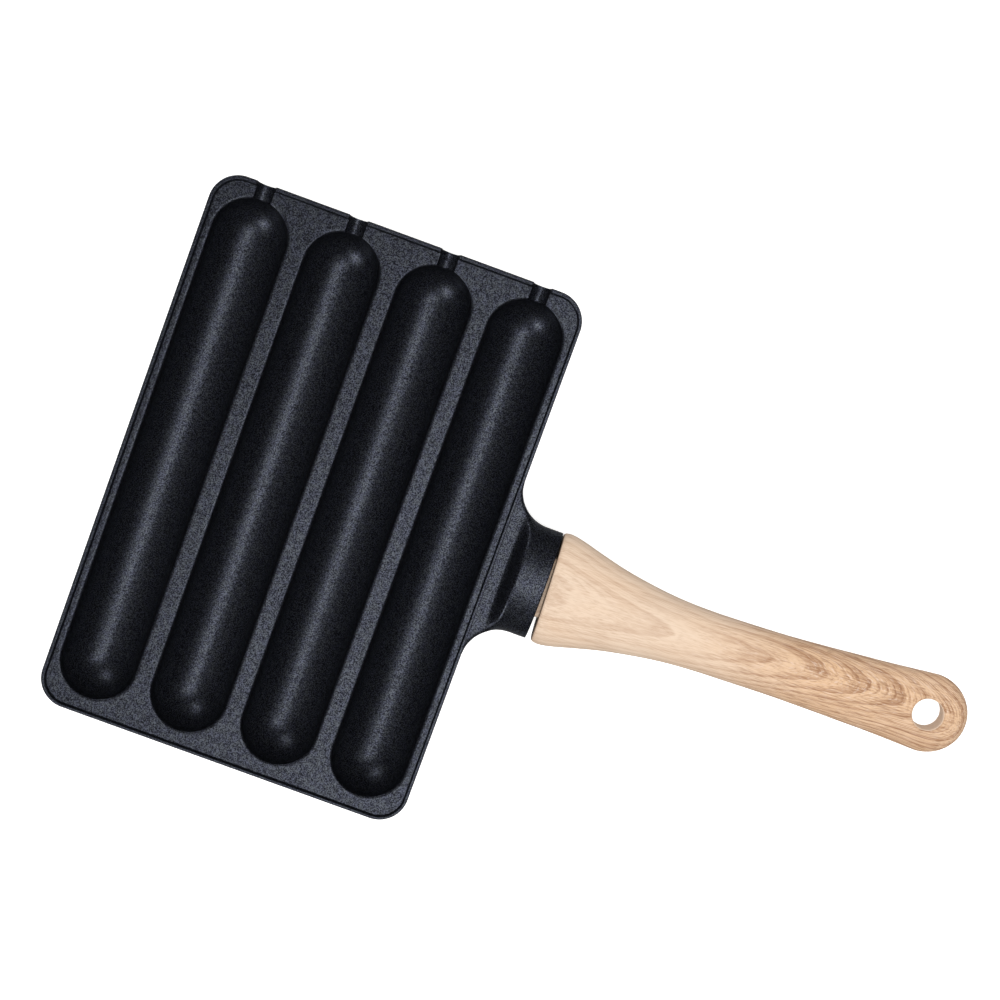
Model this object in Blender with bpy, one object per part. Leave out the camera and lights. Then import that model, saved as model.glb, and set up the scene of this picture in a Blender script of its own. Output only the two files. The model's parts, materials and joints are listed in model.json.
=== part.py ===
"""Hot dog pan: a coated casting with four troughs and a wooden handle screwed into its neck.

Units are metres and +Z is up. The origin is the middle of the base, on the surface that the pan
stands on. The handle points along +X, and the ends with the stick notches are at +Y.
"""
import math

import bmesh
import bpy
from mathutils import Matrix, Vector

# Troughs
TROUGH_COUNT = 4
TROUGH_PITCH = 0.03875
TROUGH_RADIUS = 0.0154
TROUGH_LIP_RADIUS = 0.0007
TROUGH_LENGTH = 0.2136

# Lands and rim
SIDE_LAND = 0.0022
END_LAND = 0.0044
RIM_HEIGHT = 0.0020
RIM_TOP_WIDTH = 0.0013
RIM_INNER_RUN = 0.0006
RIM_EDGE = 0.0004
CORNER_RADIUS = 0.0122

# Shell under the lands
BELLY_WALL = 0.0032
LAND_WALL = 0.0034
SKIRT_CLEARANCE = 0.0050
SKIRT_DRAFT_DEGREES = 7.0
SKIRT_ROOT_WALL = 0.0040
SKIRT_EDGE_WALL = 0.0024
RAIL_WIDTH = 0.0120
RAIL_HEIGHT = 0.0009
RAIL_END_REACH = 0.0020
RIB_COUNT = 3
RIB_SPACING = 0.0620
RIB_THICKNESS = 0.0030

# Notches for the sticks
NOTCH_RADIUS = 0.0036
NOTCH_WALL = 0.0028

# Neck that holds the handle
NECK_LENGTH = 0.0219
NECK_WIDTH = 0.0452
NECK_FILLET = 0.0150
NECK_PARTING_DROP = 0.0040
NECK_CROWN = 0.0120
NECK_KEEL = 0.0100
FLANGE_DROP = 0.00015
SOCKET_START = 0.0041
SOCKET_RUN = 0.0065
FLANGE_POWER = 12.0
SOCKET_POWER = 2.0

# Handle
HANDLE_LENGTH = 0.1743
HANDLE_SKEW_DEGREES = 2.45
HANDLE_BOW = 0.0006
HANDLE_FRONT_WIDTH = 0.0464
HANDLE_WAIST_WIDTH = 0.0249
HANDLE_TAIL_WIDTH = 0.0318
HANDLE_FRONT_CROWN = 0.0123
HANDLE_FRONT_KEEL = 0.0103
HANDLE_WAIST_THICKNESS = 0.0190
HANDLE_TAIL_THICKNESS = 0.0145
HANDLE_TAIL_RISE = 0.0175
HANDLE_EDGE_RADIUS = 0.0012
HANDLE_POWER = 2.2
TAIL_CAP_LENGTH = 0.0163
TAIL_CAP_POWER = 4.0
FRONT_RING_POWER = 1.3
HANGING_HOLE_RADIUS = 0.0062
HANGING_HOLE_SETBACK = 0.0164
HANGING_HOLE_CHAMFER = 0.0009

# Tenon and its fastening
TENON_WIDTH = 0.0250
TENON_DROP = 0.0060
TENON_RISE = 0.0065
TENON_LENGTH = 0.0123
TENON_CORNER_RADIUS = 0.0015
SCREW_SETBACK = 0.0065
SCREW_RADIUS = 0.0020
SCREW_HEAD_RADIUS = 0.0042
SCREW_HEAD_HEIGHT = 0.0026
SCREW_HEAD_EDGE = 0.0006
SCREW_TIP_CHAMFER = 0.0005
SCREW_REACH = 0.0075
SOCKET_KEY_RADIUS = 0.0018
SOCKET_KEY_DEPTH = 0.0014
INSERT_WALL = 0.0012
INSERT_LENGTH = 0.0085
INSERT_CHAMFER = 0.0004
FLAT_WASHER_RADIUS = 0.0050
FLAT_WASHER_THICKNESS = 0.0010
SPRING_WASHER_RADIUS = 0.0039
SPRING_WASHER_THICKNESS = 0.0012
SPRING_WASHER_SPLIT_DEGREES = 14.0
SPRING_WASHER_LIFT = 0.0002
SPOT_FACE_DEPTH = 0.0010

# Clearances
FIT_GAP = 0.0003
OVERRUN = 0.0040
FLARE_RISE = 0.0001
WELD_DISTANCE = 0.000001

# Shares of the sizes that they follow
LIP_SWEEP_SHARE = 0.9
INSIDE_WALL_SHARE = 0.5
RIB_TOP_SHARE = 0.4
RAIL_ROOT_SHARE = 0.75
NECK_ROOT_SHARE = 0.75
NOTCH_START_SHARE = 0.5
BOSS_END_SHARE = 0.75
TAPER_SHARES = ((0.0, 0.965), (0.02, 1.0), (0.05, 0.91), (0.105, 0.66), (0.16, 0.43),
                (0.22, 0.245), (0.275, 0.115), (0.33, 0.035), (0.39, 0.0))
SWELL_SHARES = ((0.39, 0.0), (0.5, 0.01), (0.56, 0.05), (0.61, 0.14), (0.67, 0.27),
                (0.725, 0.42), (0.78, 0.55), (0.84, 0.75), (0.87, 0.87), (0.9065, 1.0))
RISE_SHARES = ((0.0, 0.0), (0.08, 0.19), (0.16, 0.35), (0.275, 0.53), (0.39, 0.66),
               (0.5, 0.76), (0.62, 0.845), (0.73, 0.905), (0.85, 0.96), (1.0, 1.02))
BOW_SHARES = ((0.0, 0.0), (0.16, 0.6), (0.28, 0.86), (0.42, 1.0), (0.56, 0.82), (0.68, 0.52),
              (0.8, 0.2), (0.92, 0.0), (1.0, 0.0))

# Counts of facets
CORNER_STEPS = 8
STADIUM_STEPS = 16
BOWL_STEPS = 12
LIP_STEPS = 3
BELLY_STEPS = 7
BELLY_END_STEPS = 12
CHANNEL_STEPS = 10
NECK_RING_STEPS = 44
NECK_FILLET_STEPS = 10
SOCKET_STEPS = 9
NECK_BARREL_STEPS = 3
HANDLE_RING_STEPS = 36
HANDLE_BODY_STEPS = 30
HANDLE_EDGE_STEPS = 3
HANDLE_CAP_STEPS = 8
HOLE_STEPS = 28
SMALL_ROUND_STEPS = 24
SECTION_CORNER_STEPS = 3
KEY_SIDES = 6
SMOOTH_ANGLE_DEGREES = 30.0

# Worked out from the sizes above
DRAFT = math.tan(math.radians(SKIRT_DRAFT_DEGREES))
SKEW = math.radians(HANDLE_SKEW_DEGREES)
OPENING_RADIUS = TROUGH_RADIUS + TROUGH_LIP_RADIUS
TROUGH_HALF_RUN = TROUGH_LENGTH / 2 - OPENING_RADIUS
OUTER_TROUGH_X = TROUGH_PITCH * (TROUGH_COUNT - 1) / 2
LAND_Z = RAIL_HEIGHT + BELLY_WALL + OPENING_RADIUS
RIM_Z = LAND_Z + RIM_HEIGHT
BOWL_CENTRE_Z = LAND_Z - TROUGH_LIP_RADIUS
RIM_FOOT_X = OUTER_TROUGH_X + OPENING_RADIUS + SIDE_LAND
RIM_FOOT_Y = TROUGH_LENGTH / 2 + END_LAND
HALF_WIDTH = RIM_FOOT_X + RIM_INNER_RUN + RIM_TOP_WIDTH
HALF_LENGTH = RIM_FOOT_Y + RIM_INNER_RUN + RIM_TOP_WIDTH
CEILING_Z = LAND_Z - LAND_WALL
NECK_END_X = HALF_WIDTH + NECK_LENGTH
PARTING_Z = RIM_Z - NECK_PARTING_DROP
POCKET_DEPTH = TENON_LENGTH + TENON_WIDTH / 2 * math.sin(SKEW) + FIT_GAP
SEAT_Z = PARTING_Z - NECK_KEEL + SPOT_FACE_DEPTH
SCREW_SHIFT = SCREW_SETBACK * math.sin(SKEW)
SHOULDER_X = FIT_GAP + (HANDLE_FRONT_WIDTH / 2 - HANDLE_EDGE_RADIUS) * math.tan(SKEW)


def clear_scene() -> None:
    """Removes every object that is in the scene."""
    for old in list(bpy.data.objects):
        bpy.data.objects.remove(old, do_unlink=True)


def make_material(name: str, colour: tuple, roughness: float, metallic: float) -> bpy.types.Material:
    """Makes a plain surface from a colour, a roughness and a metallic value."""
    material = bpy.data.materials.new(name)
    material.use_nodes = True
    shader = material.node_tree.nodes["Principled BSDF"]
    shader.inputs["Base Color"].default_value = (*colour, 1.0)
    shader.inputs["Roughness"].default_value = roughness
    shader.inputs["Metallic"].default_value = metallic
    return material


def mesh_object(name: str, bodies: list, looped: bool = False) -> bpy.types.Object:
    """Skins each body's rings of points with faces and keeps them as one object.

    Args:
        name: the object's name.
        bodies: one list of rings for each closed body; a body's rings have equal counts of points.
        looped: joins the last ring to the first instead of capping both.

    Returns:
        The new object, with its faces pointing out and no doubled points.
    """
    shape = bmesh.new()
    for rings in bodies:
        rows = [[shape.verts.new(point) for point in ring] for ring in rings]
        pairs = list(zip(rows, rows[1:]))
        if looped:
            pairs.append((rows[-1], rows[0]))
        else:
            shape.faces.new(list(reversed(rows[0])))
            shape.faces.new(rows[-1])
        for low, high in pairs:
            for this in range(len(low)):
                after = (this + 1) % len(low)
                shape.faces.new((low[this], low[after], high[after], high[this]))
    bmesh.ops.remove_doubles(shape, verts=shape.verts, dist=WELD_DISTANCE)
    flat = [face for face in shape.faces if face.calc_area() < WELD_DISTANCE ** 2]
    bmesh.ops.delete(shape, geom=flat, context="FACES_ONLY")
    bmesh.ops.delete(shape, geom=[edge for edge in shape.edges if not edge.link_faces], context="EDGES")
    bmesh.ops.recalc_face_normals(shape, faces=shape.faces)
    mesh = bpy.data.meshes.new(name)
    shape.to_mesh(mesh)
    shape.free()
    made = bpy.data.objects.new(name, mesh)
    bpy.context.scene.collection.objects.link(made)
    return made


def carve(target: bpy.types.Object, tool: bpy.types.Object, operation: str) -> None:
    """Joins a tool to the target (UNION) or cuts it out of it (DIFFERENCE), and removes the tool."""
    step = target.modifiers.new(operation.title(), "BOOLEAN")
    step.solver = "EXACT"
    step.operation = operation
    step.object = tool
    bpy.context.view_layer.update()
    seen = target.evaluated_get(bpy.context.evaluated_depsgraph_get())
    result = bpy.data.meshes.new_from_object(seen)
    target.modifiers.clear()
    target.data = result
    bpy.data.objects.remove(tool, do_unlink=True)


def finish(made: bpy.types.Object, material: bpy.types.Material) -> None:
    """Gives a finished piece its material and smooth shading with crisp edges."""
    made.data.materials.clear()
    made.data.materials.append(material)
    made.data.shade_smooth()
    made.data.set_sharp_from_angle(angle=math.radians(SMOOTH_ANGLE_DEGREES))


def arc(start_degrees: float, stop_degrees: float, steps: int) -> list:
    """Lists evenly spaced angles in radians, both ends included."""
    span = stop_degrees - start_degrees
    return [math.radians(start_degrees + span * step / steps) for step in range(steps + 1)]


def smooth(value: float) -> float:
    """Eases a share from 0 to 1 with level ends."""
    held = min(max(value, 0.0), 1.0)
    return held * held * (3.0 - 2.0 * held)


def read_shares(table: tuple, place: float) -> float:
    """Reads a table of shares at a place, on a smooth curve through its points."""
    last = len(table) - 1
    if place <= table[0][0]:
        return table[0][1]
    if place >= table[last][0]:
        return table[last][1]
    this = max(index for index in range(last) if table[index][0] <= place)
    slopes = []
    for index in (this, this + 1):
        low = max(index - 1, 0)
        high = min(index + 1, last)
        slopes.append((table[high][1] - table[low][1]) / (table[high][0] - table[low][0]))
    left, right = table[this], table[this + 1]
    span = right[0] - left[0]
    along = (place - left[0]) / span
    bend = smooth(along)
    return ((1.0 - bend) * left[1] + bend * right[1]
            + span * along * (1.0 - along) * ((1.0 - along) * slopes[0] - along * slopes[1]))


def rounded_rectangle(half_across: float, half_up: float, radius: float, steps: int) -> list:
    """Outlines a rectangle with round corners, as pairs of places."""
    points = []
    for corner, (across, up) in enumerate(((1, 1), (-1, 1), (-1, -1), (1, -1))):
        for angle in arc(corner * 90.0, (corner + 1) * 90.0, steps):
            points.append((across * (half_across - radius) + radius * math.cos(angle),
                           up * (half_up - radius) + radius * math.sin(angle)))
    return points


def stadium(half_run: float, radius: float, steps: int) -> list:
    """Outlines a straight run along the second axis between two half circles."""
    points = []
    for side in (1, -1):
        for angle in arc(0.0, 180.0, steps):
            points.append((side * radius * math.cos(angle), side * (half_run + radius * math.sin(angle))))
    return points


def circle(radius: float, steps: int) -> list:
    """Outlines a circle, as pairs of places."""
    return [(radius * math.cos(angle), radius * math.sin(angle)) for angle in arc(0.0, 360.0, steps)[:-1]]


def channel(radius: float, centre_z: float, top_z: float) -> list:
    """Outlines a round-bottomed channel with straight sides up to its top."""
    points = [(radius, top_z), (-radius, top_z)]
    for angle in arc(180.0, 360.0, CHANNEL_STEPS):
        points.append((radius * math.cos(angle), centre_z + radius * math.sin(angle)))
    return points


def level_ring(outline: list, height: float, across: float = 0.0, along: float = 0.0) -> list:
    """Lays an outline flat at a height, moved across and along."""
    return [(across + x, along + y, height) for x, y in outline]


def box_rings(low: tuple, high: tuple) -> list:
    """Gives the two rings of a plain block between two corners."""
    corners = ((low[0], low[1]), (high[0], low[1]), (high[0], high[1]), (low[0], high[1]))
    return [level_ring(list(corners), height) for height in (low[2], high[2])]


def turned_rings(profile: list, steps: int) -> list:
    """Turns a profile of radius and height about the Z axis."""
    return [level_ring(circle(radius, steps), height) for radius, height in profile]


def trough_centres() -> list:
    """Lists the troughs' centre lines across the pan."""
    return [TROUGH_PITCH * index - OUTER_TROUGH_X for index in range(TROUGH_COUNT)]


def skirt_outline(height: float, inset: float) -> list:
    """Outlines the drafted skirt at a height, moved in by an inset."""
    drawn_in = (RIM_Z - height) * DRAFT + inset
    return rounded_rectangle(HALF_WIDTH - drawn_in, HALF_LENGTH - drawn_in, CORNER_RADIUS - drawn_in,
                             CORNER_STEPS)


def tray_block() -> bpy.types.Object:
    """Makes the solid block inside the skirt and the rim."""
    rings = [level_ring(skirt_outline(SKIRT_CLEARANCE, 0.0), SKIRT_CLEARANCE),
             level_ring(skirt_outline(RIM_Z - RIM_EDGE, 0.0), RIM_Z - RIM_EDGE),
             level_ring(skirt_outline(RIM_Z, RIM_EDGE), RIM_Z)]
    return mesh_object("pan_body", [rings])


def cavity_cutter() -> bpy.types.Object:
    """Makes the hollow under the lands, which widens downwards so that the casting leaves its mould."""
    edge = skirt_outline(SKIRT_CLEARANCE, SKIRT_EDGE_WALL)
    rings = [level_ring(edge, -OVERRUN),
             level_ring(edge, SKIRT_CLEARANCE),
             level_ring(skirt_outline(CEILING_Z, SKIRT_ROOT_WALL), CEILING_Z)]
    return mesh_object("cavity", [rings])


def bellies() -> bpy.types.Object:
    """Makes the rounded undersides of the troughs."""
    outer = TROUGH_RADIUS + BELLY_WALL
    top = (LAND_WALL * INSIDE_WALL_SHARE - TROUGH_LIP_RADIUS) / outer
    profile = [(outer * math.sin(angle), BOWL_CENTRE_Z - outer * math.cos(angle))
               for angle in arc(0.0, math.degrees(math.acos(top)), BELLY_STEPS)]
    bodies = [[level_ring(stadium(TROUGH_HALF_RUN, radius, BELLY_END_STEPS), height, centre)
               for radius, height in profile] for centre in trough_centres()]
    return mesh_object("bellies", bodies)


def rails() -> bpy.types.Object:
    """Makes the flat foot along each belly that stands on the stove."""
    top = RAIL_HEIGHT + BELLY_WALL * RAIL_ROOT_SHARE
    reach = TROUGH_HALF_RUN + RAIL_END_REACH
    bodies = [box_rings((centre - RAIL_WIDTH / 2, -reach, 0.0), (centre + RAIL_WIDTH / 2, reach, top))
              for centre in trough_centres()]
    return mesh_object("rails", bodies)


def ribs() -> bpy.types.Object:
    """Makes the cross ribs that tie the bellies and stand level with the rails."""
    top = LAND_Z - LAND_WALL * RIB_TOP_SHARE
    bodies = []
    for index in range(RIB_COUNT):
        middle = RIB_SPACING * (index - (RIB_COUNT - 1) / 2)
        bodies.append(box_rings((-OUTER_TROUGH_X, middle - RIB_THICKNESS / 2, 0.0),
                                (OUTER_TROUGH_X, middle + RIB_THICKNESS / 2, top)))
    return mesh_object("ribs", bodies)


def channel_bodies(outline: list, start: float, stop: float) -> list:
    """Runs a channel's outline along Y at each trough's centre line."""
    return [[[(centre + x, y, z) for x, z in outline] for y in (start, stop)]
            for centre in trough_centres()]


def notch_bosses() -> bpy.types.Object:
    """Makes the thickening under each stick notch."""
    outline = channel(NOTCH_RADIUS + NOTCH_WALL, LAND_Z - LAND_WALL, LAND_Z - LAND_WALL * INSIDE_WALL_SHARE)
    stop = HALF_LENGTH - SKIRT_ROOT_WALL * BOSS_END_SHARE
    return mesh_object("notch_bosses", channel_bodies(outline, TROUGH_HALF_RUN, stop))


def notch_cutters() -> bpy.types.Object:
    """Makes the round-bottomed notches through the far land and rim."""
    outline = channel(NOTCH_RADIUS, LAND_Z, RIM_Z + OVERRUN)
    start = TROUGH_HALF_RUN + TROUGH_RADIUS * NOTCH_START_SHARE
    return mesh_object("notches", channel_bodies(outline, start, HALF_LENGTH + OVERRUN))


def trough_cutters() -> bpy.types.Object:
    """Makes the troughs: round bowls with round ends and a rolled lip at the land."""
    profile = [(TROUGH_RADIUS * math.sin(angle), BOWL_CENTRE_Z - TROUGH_RADIUS * math.cos(angle))
               for angle in arc(0.0, 90.0, BOWL_STEPS)]
    for angle in arc(0.0, 90.0 * LIP_SWEEP_SHARE, LIP_STEPS)[1:]:
        profile.append((TROUGH_RADIUS + TROUGH_LIP_RADIUS * (1.0 - math.cos(angle)),
                        BOWL_CENTRE_Z + TROUGH_LIP_RADIUS * math.sin(angle)))
    climb = LAND_Z + FLARE_RISE - profile[-1][1]
    flared = profile[-1][0] + climb * math.tan(angle)
    profile.append((flared, LAND_Z + FLARE_RISE))
    profile.append((flared, RIM_Z + OVERRUN))
    bodies = [[level_ring(stadium(TROUGH_HALF_RUN, radius, STADIUM_STEPS), height, centre)
               for radius, height in profile] for centre in trough_centres()]
    return mesh_object("troughs", bodies)


def rim_recess_cutter() -> bpy.types.Object:
    """Makes the shallow space over the lands, inside the drafted rim."""
    slope = RIM_INNER_RUN / RIM_HEIGHT
    rings = []
    for climb in (0.0, RIM_HEIGHT + OVERRUN):
        out = climb * slope
        foot_radius = CORNER_RADIUS - RIM_TOP_WIDTH - RIM_INNER_RUN
        outline = rounded_rectangle(RIM_FOOT_X + out, RIM_FOOT_Y + out, foot_radius + out, CORNER_STEPS)
        rings.append(level_ring(outline, LAND_Z + climb))
    return mesh_object("rim_recess", [rings])


def neck_half_width(x: float) -> float:
    """Gives the neck's half width, with its round fillets into the pan's side."""
    half = NECK_WIDTH / 2
    inward = min(max(x - HALF_WIDTH, 0.0), NECK_FILLET)
    return half + NECK_FILLET - math.sqrt(NECK_FILLET ** 2 - (NECK_FILLET - inward) ** 2)


def neck_ring(x: float) -> list:
    """Gives the neck's section: a level flange near the pan that grows into the raised round socket."""
    half = neck_half_width(x)
    grown = smooth((x - HALF_WIDTH - SOCKET_START) / SOCKET_RUN)
    points = []
    for angle in arc(0.0, 360.0, NECK_RING_STEPS)[:-1]:
        across = math.cos(angle)
        round_share = max(1.0 - abs(across) ** SOCKET_POWER, 0.0) ** (1.0 / SOCKET_POWER)
        if math.sin(angle) >= 0.0:
            level_share = max(1.0 - abs(across) ** FLANGE_POWER, 0.0) ** (1.0 / FLANGE_POWER)
            level = (NECK_PARTING_DROP - FLANGE_DROP) * level_share
            height = (1.0 - grown) * level + grown * NECK_CROWN * round_share
        else:
            height = -NECK_KEEL * round_share
        points.append((x, half * across, PARTING_Z + height))
    return points


def neck_block() -> bpy.types.Object:
    """Makes the neck from inside the skirt to its end face."""
    places = {HALF_WIDTH - SKIRT_ROOT_WALL * NECK_ROOT_SHARE}
    for angle in arc(0.0, 90.0, NECK_FILLET_STEPS):
        places.add(HALF_WIDTH + NECK_FILLET * (1.0 - math.cos(angle)))
    for step in range(SOCKET_STEPS + 1):
        places.add(HALF_WIDTH + SOCKET_START + SOCKET_RUN * step / SOCKET_STEPS)
    barrel_start = HALF_WIDTH + NECK_FILLET
    for step in range(NECK_BARREL_STEPS + 1):
        places.add(barrel_start + (NECK_END_X - barrel_start) * step / NECK_BARREL_STEPS)
    return mesh_object("neck", [[neck_ring(x) for x in sorted(places)]])


def tenon_section(clearance: float, side_slack: float) -> list:
    """Outlines the tenon, or its pocket when it has a clearance and slack at the sides."""
    middle_z = PARTING_Z + (TENON_RISE - TENON_DROP) / 2
    outline = rounded_rectangle(TENON_WIDTH / 2 + side_slack + clearance,
                                (TENON_RISE + TENON_DROP) / 2 + clearance,
                                TENON_CORNER_RADIUS + clearance, SECTION_CORNER_STEPS)
    return [(y, middle_z + z) for y, z in outline]


def pocket_cutter() -> bpy.types.Object:
    """Makes the neck's pocket, wide enough for the skewed tenon."""
    outline = tenon_section(FIT_GAP, TENON_LENGTH * math.sin(SKEW))
    rings = [[(x, y, z) for y, z in outline] for x in (NECK_END_X - POCKET_DEPTH, NECK_END_X + OVERRUN)]
    return mesh_object("pocket", [rings])


def screw_hole_cutter() -> bpy.types.Object:
    """Makes the screw's hole through the neck's floor, with a flat seat round it."""
    seat_radius = FLAT_WASHER_RADIUS + SCREW_SHIFT + FIT_GAP
    hole_radius = SCREW_RADIUS + SCREW_SHIFT + FIT_GAP
    profile = [(seat_radius, PARTING_Z - NECK_KEEL - OVERRUN), (seat_radius, SEAT_Z),
               (hole_radius, SEAT_Z), (hole_radius, PARTING_Z)]
    across = NECK_END_X - SCREW_SETBACK
    rings = [[(across + x, y, z) for x, y, z in ring] for ring in turned_rings(profile, SMALL_ROUND_STEPS)]
    return mesh_object("screw_hole", [rings])


def build_pan(material: bpy.types.Material) -> None:
    """Builds the whole casting from its solids and its cuts."""
    pan = tray_block()
    carve(pan, cavity_cutter(), "DIFFERENCE")
    for added in (bellies, rails, ribs, notch_bosses, neck_block):
        carve(pan, added(), "UNION")
    for cut in (trough_cutters, rim_recess_cutter, notch_cutters, pocket_cutter, screw_hole_cutter):
        carve(pan, cut(), "DIFFERENCE")
    finish(pan, material)


def handle_form(share: float) -> tuple:
    """Gives the handle's half width, crown, keel and centre height at a share of its length."""
    if share < TAPER_SHARES[-1][0]:
        blend = read_shares(TAPER_SHARES, share)
        wide, crown, keel = HANDLE_FRONT_WIDTH / 2, HANDLE_FRONT_CROWN, HANDLE_FRONT_KEEL
    else:
        blend = read_shares(SWELL_SHARES, share)
        wide, crown, keel = HANDLE_TAIL_WIDTH / 2, HANDLE_TAIL_THICKNESS / 2, HANDLE_TAIL_THICKNESS / 2
    waist = HANDLE_WAIST_THICKNESS / 2
    half = HANDLE_WAIST_WIDTH / 2 * (1.0 - blend) + wide * blend
    above = waist * (1.0 - blend) + crown * blend
    below = waist * (1.0 - blend) + keel * blend
    return half, above, below, HANDLE_TAIL_RISE * read_shares(RISE_SHARES, share)


def handle_ring(along: float, inset: float, narrow: float, thin: float) -> list:
    """Gives the handle's section, drawn in by an inset and scaled towards the rounded tail.

    Args:
        along: distance behind the front shoulder.
        inset: how far the round front edge draws the section in.
        narrow: share of the width that is left at the tail's rounding.
        thin: share of the thickness that is left at the tail's rounding.

    Returns:
        The section's points in the handle's own frame.
    """
    half, above, below, rise = handle_form(along / HANDLE_LENGTH)
    aside = -HANDLE_BOW * read_shares(BOW_SHARES, along / HANDLE_LENGTH)
    points = []
    for angle in arc(0.0, 360.0, HANDLE_RING_STEPS)[:-1]:
        across = math.copysign(abs(math.cos(angle)) ** (2.0 / HANDLE_POWER), math.cos(angle))
        up = math.copysign(abs(math.sin(angle)) ** (2.0 / HANDLE_POWER), math.sin(angle))
        reach = above if up > 0.0 else below
        points.append((SHOULDER_X + along, aside + (half * narrow - inset) * across,
                       rise + (reach * thin - inset) * up))
    return points


def handle_blank() -> bpy.types.Object:
    """Makes the handle's long body, from the shoulder to the round tail."""
    rings = []
    for angle in arc(0.0, 90.0, HANDLE_EDGE_STEPS):
        rings.append(handle_ring(HANDLE_EDGE_RADIUS * (1.0 - math.cos(angle)),
                                 HANDLE_EDGE_RADIUS * (1.0 - math.sin(angle)), 1.0, 1.0))
    cap_start = HANDLE_LENGTH - TAIL_CAP_LENGTH
    for step in range(1, HANDLE_BODY_STEPS + 1):
        gone = (step / HANDLE_BODY_STEPS) ** FRONT_RING_POWER
        along = HANDLE_EDGE_RADIUS + (cap_start - HANDLE_EDGE_RADIUS) * gone
        rings.append(handle_ring(along, 0.0, 1.0, 1.0))
    for angle in arc(0.0, 90.0, HANDLE_CAP_STEPS)[1:]:
        narrow = math.cos(angle) if angle < math.pi / 2 else 0.0
        thin = math.sqrt(max(1.0 - math.sin(angle) ** TAIL_CAP_POWER, 0.0)) if angle < math.pi / 2 else 0.0
        rings.append(handle_ring(cap_start + TAIL_CAP_LENGTH * math.sin(angle), 0.0, narrow, thin))
    return mesh_object("wooden_handle", [rings])


def tenon_block() -> bpy.types.Object:
    """Makes the tenon, running into the handle's body."""
    outline = tenon_section(0.0, 0.0)
    stop = SHOULDER_X + TENON_LENGTH
    rings = [[(x, y, z - PARTING_Z) for y, z in outline] for x in (-TENON_LENGTH, stop)]
    return mesh_object("tenon", [rings])


def hanging_hole_cutter() -> bpy.types.Object:
    """Makes the hanging hole, square to the handle and with both rims broken."""
    along = HANDLE_LENGTH - HANGING_HOLE_SETBACK
    half, above, below, rise = handle_form(along / HANDLE_LENGTH)
    ahead = handle_form((along - HANGING_HOLE_RADIUS) / HANDLE_LENGTH)[3]
    behind = handle_form((along + HANGING_HOLE_RADIUS) / HANDLE_LENGTH)[3]
    slope = math.atan2(behind - ahead, 2 * HANGING_HOLE_RADIUS)
    wide = HANGING_HOLE_RADIUS + HANGING_HOLE_CHAMFER + OVERRUN
    profile = [(wide, -below - OVERRUN), (HANGING_HOLE_RADIUS, -below + HANGING_HOLE_CHAMFER),
               (HANGING_HOLE_RADIUS, above - HANGING_HOLE_CHAMFER), (wide, above + OVERRUN)]
    place = Matrix.Translation((SHOULDER_X + along, 0.0, rise)) @ Matrix.Rotation(-slope, 4, "Y")
    rings = [[place @ Vector(point) for point in ring] for ring in turned_rings(profile, HOLE_STEPS)]
    return mesh_object("hanging_hole", [rings])


def insert_hole_cutter() -> bpy.types.Object:
    """Makes the hole in the tenon that takes the threaded insert."""
    radius = SCREW_RADIUS + INSERT_WALL + 2 * FIT_GAP
    profile = [(radius, -TENON_DROP - OVERRUN), (radius, -TENON_DROP + INSERT_LENGTH + 2 * FIT_GAP)]
    rings = [[(x - SCREW_SETBACK, y, z) for x, y, z in ring]
             for ring in turned_rings(profile, SMALL_ROUND_STEPS)]
    return mesh_object("insert_hole", [rings])


def build_handle(axis: bpy.types.Object, material: bpy.types.Material) -> None:
    """Builds the wooden handle in the frame of the neck's end."""
    handle = handle_blank()
    carve(handle, tenon_block(), "UNION")
    carve(handle, hanging_hole_cutter(), "DIFFERENCE")
    carve(handle, insert_hole_cutter(), "DIFFERENCE")
    handle.parent = axis
    finish(handle, material)


def seat_on_axis(made: bpy.types.Object, axis: bpy.types.Object, height: float) -> None:
    """Hangs a piece of the fastening on the handle's frame, at the screw and at a height."""
    made.parent = axis
    made.location = (-SCREW_SETBACK, 0.0, height - PARTING_Z)


def build_insert(axis: bpy.types.Object, material: bpy.types.Material) -> None:
    """Builds the threaded bush inside the tenon."""
    bore = SCREW_RADIUS + FIT_GAP
    outer = bore + INSERT_WALL
    profile = [(bore, 0.0), (outer - INSERT_CHAMFER, 0.0), (outer, INSERT_CHAMFER),
               (outer, INSERT_LENGTH - INSERT_CHAMFER), (outer - INSERT_CHAMFER, INSERT_LENGTH),
               (bore, INSERT_LENGTH)]
    insert = mesh_object("threaded_insert", [turned_rings(profile, SMALL_ROUND_STEPS)], looped=True)
    seat_on_axis(insert, axis, PARTING_Z - TENON_DROP + FIT_GAP)
    finish(insert, material)


def build_flat_washer(axis: bpy.types.Object, material: bpy.types.Material) -> float:
    """Builds the flat washer and returns the height of its lower face."""
    base = SEAT_Z - FIT_GAP - FLAT_WASHER_THICKNESS
    bore = SCREW_RADIUS + FIT_GAP
    profile = [(bore, 0.0), (FLAT_WASHER_RADIUS, 0.0), (FLAT_WASHER_RADIUS, FLAT_WASHER_THICKNESS),
               (bore, FLAT_WASHER_THICKNESS)]
    washer = mesh_object("flat_washer", [turned_rings(profile, SMALL_ROUND_STEPS)], looped=True)
    seat_on_axis(washer, axis, base)
    finish(washer, material)
    return base


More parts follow.
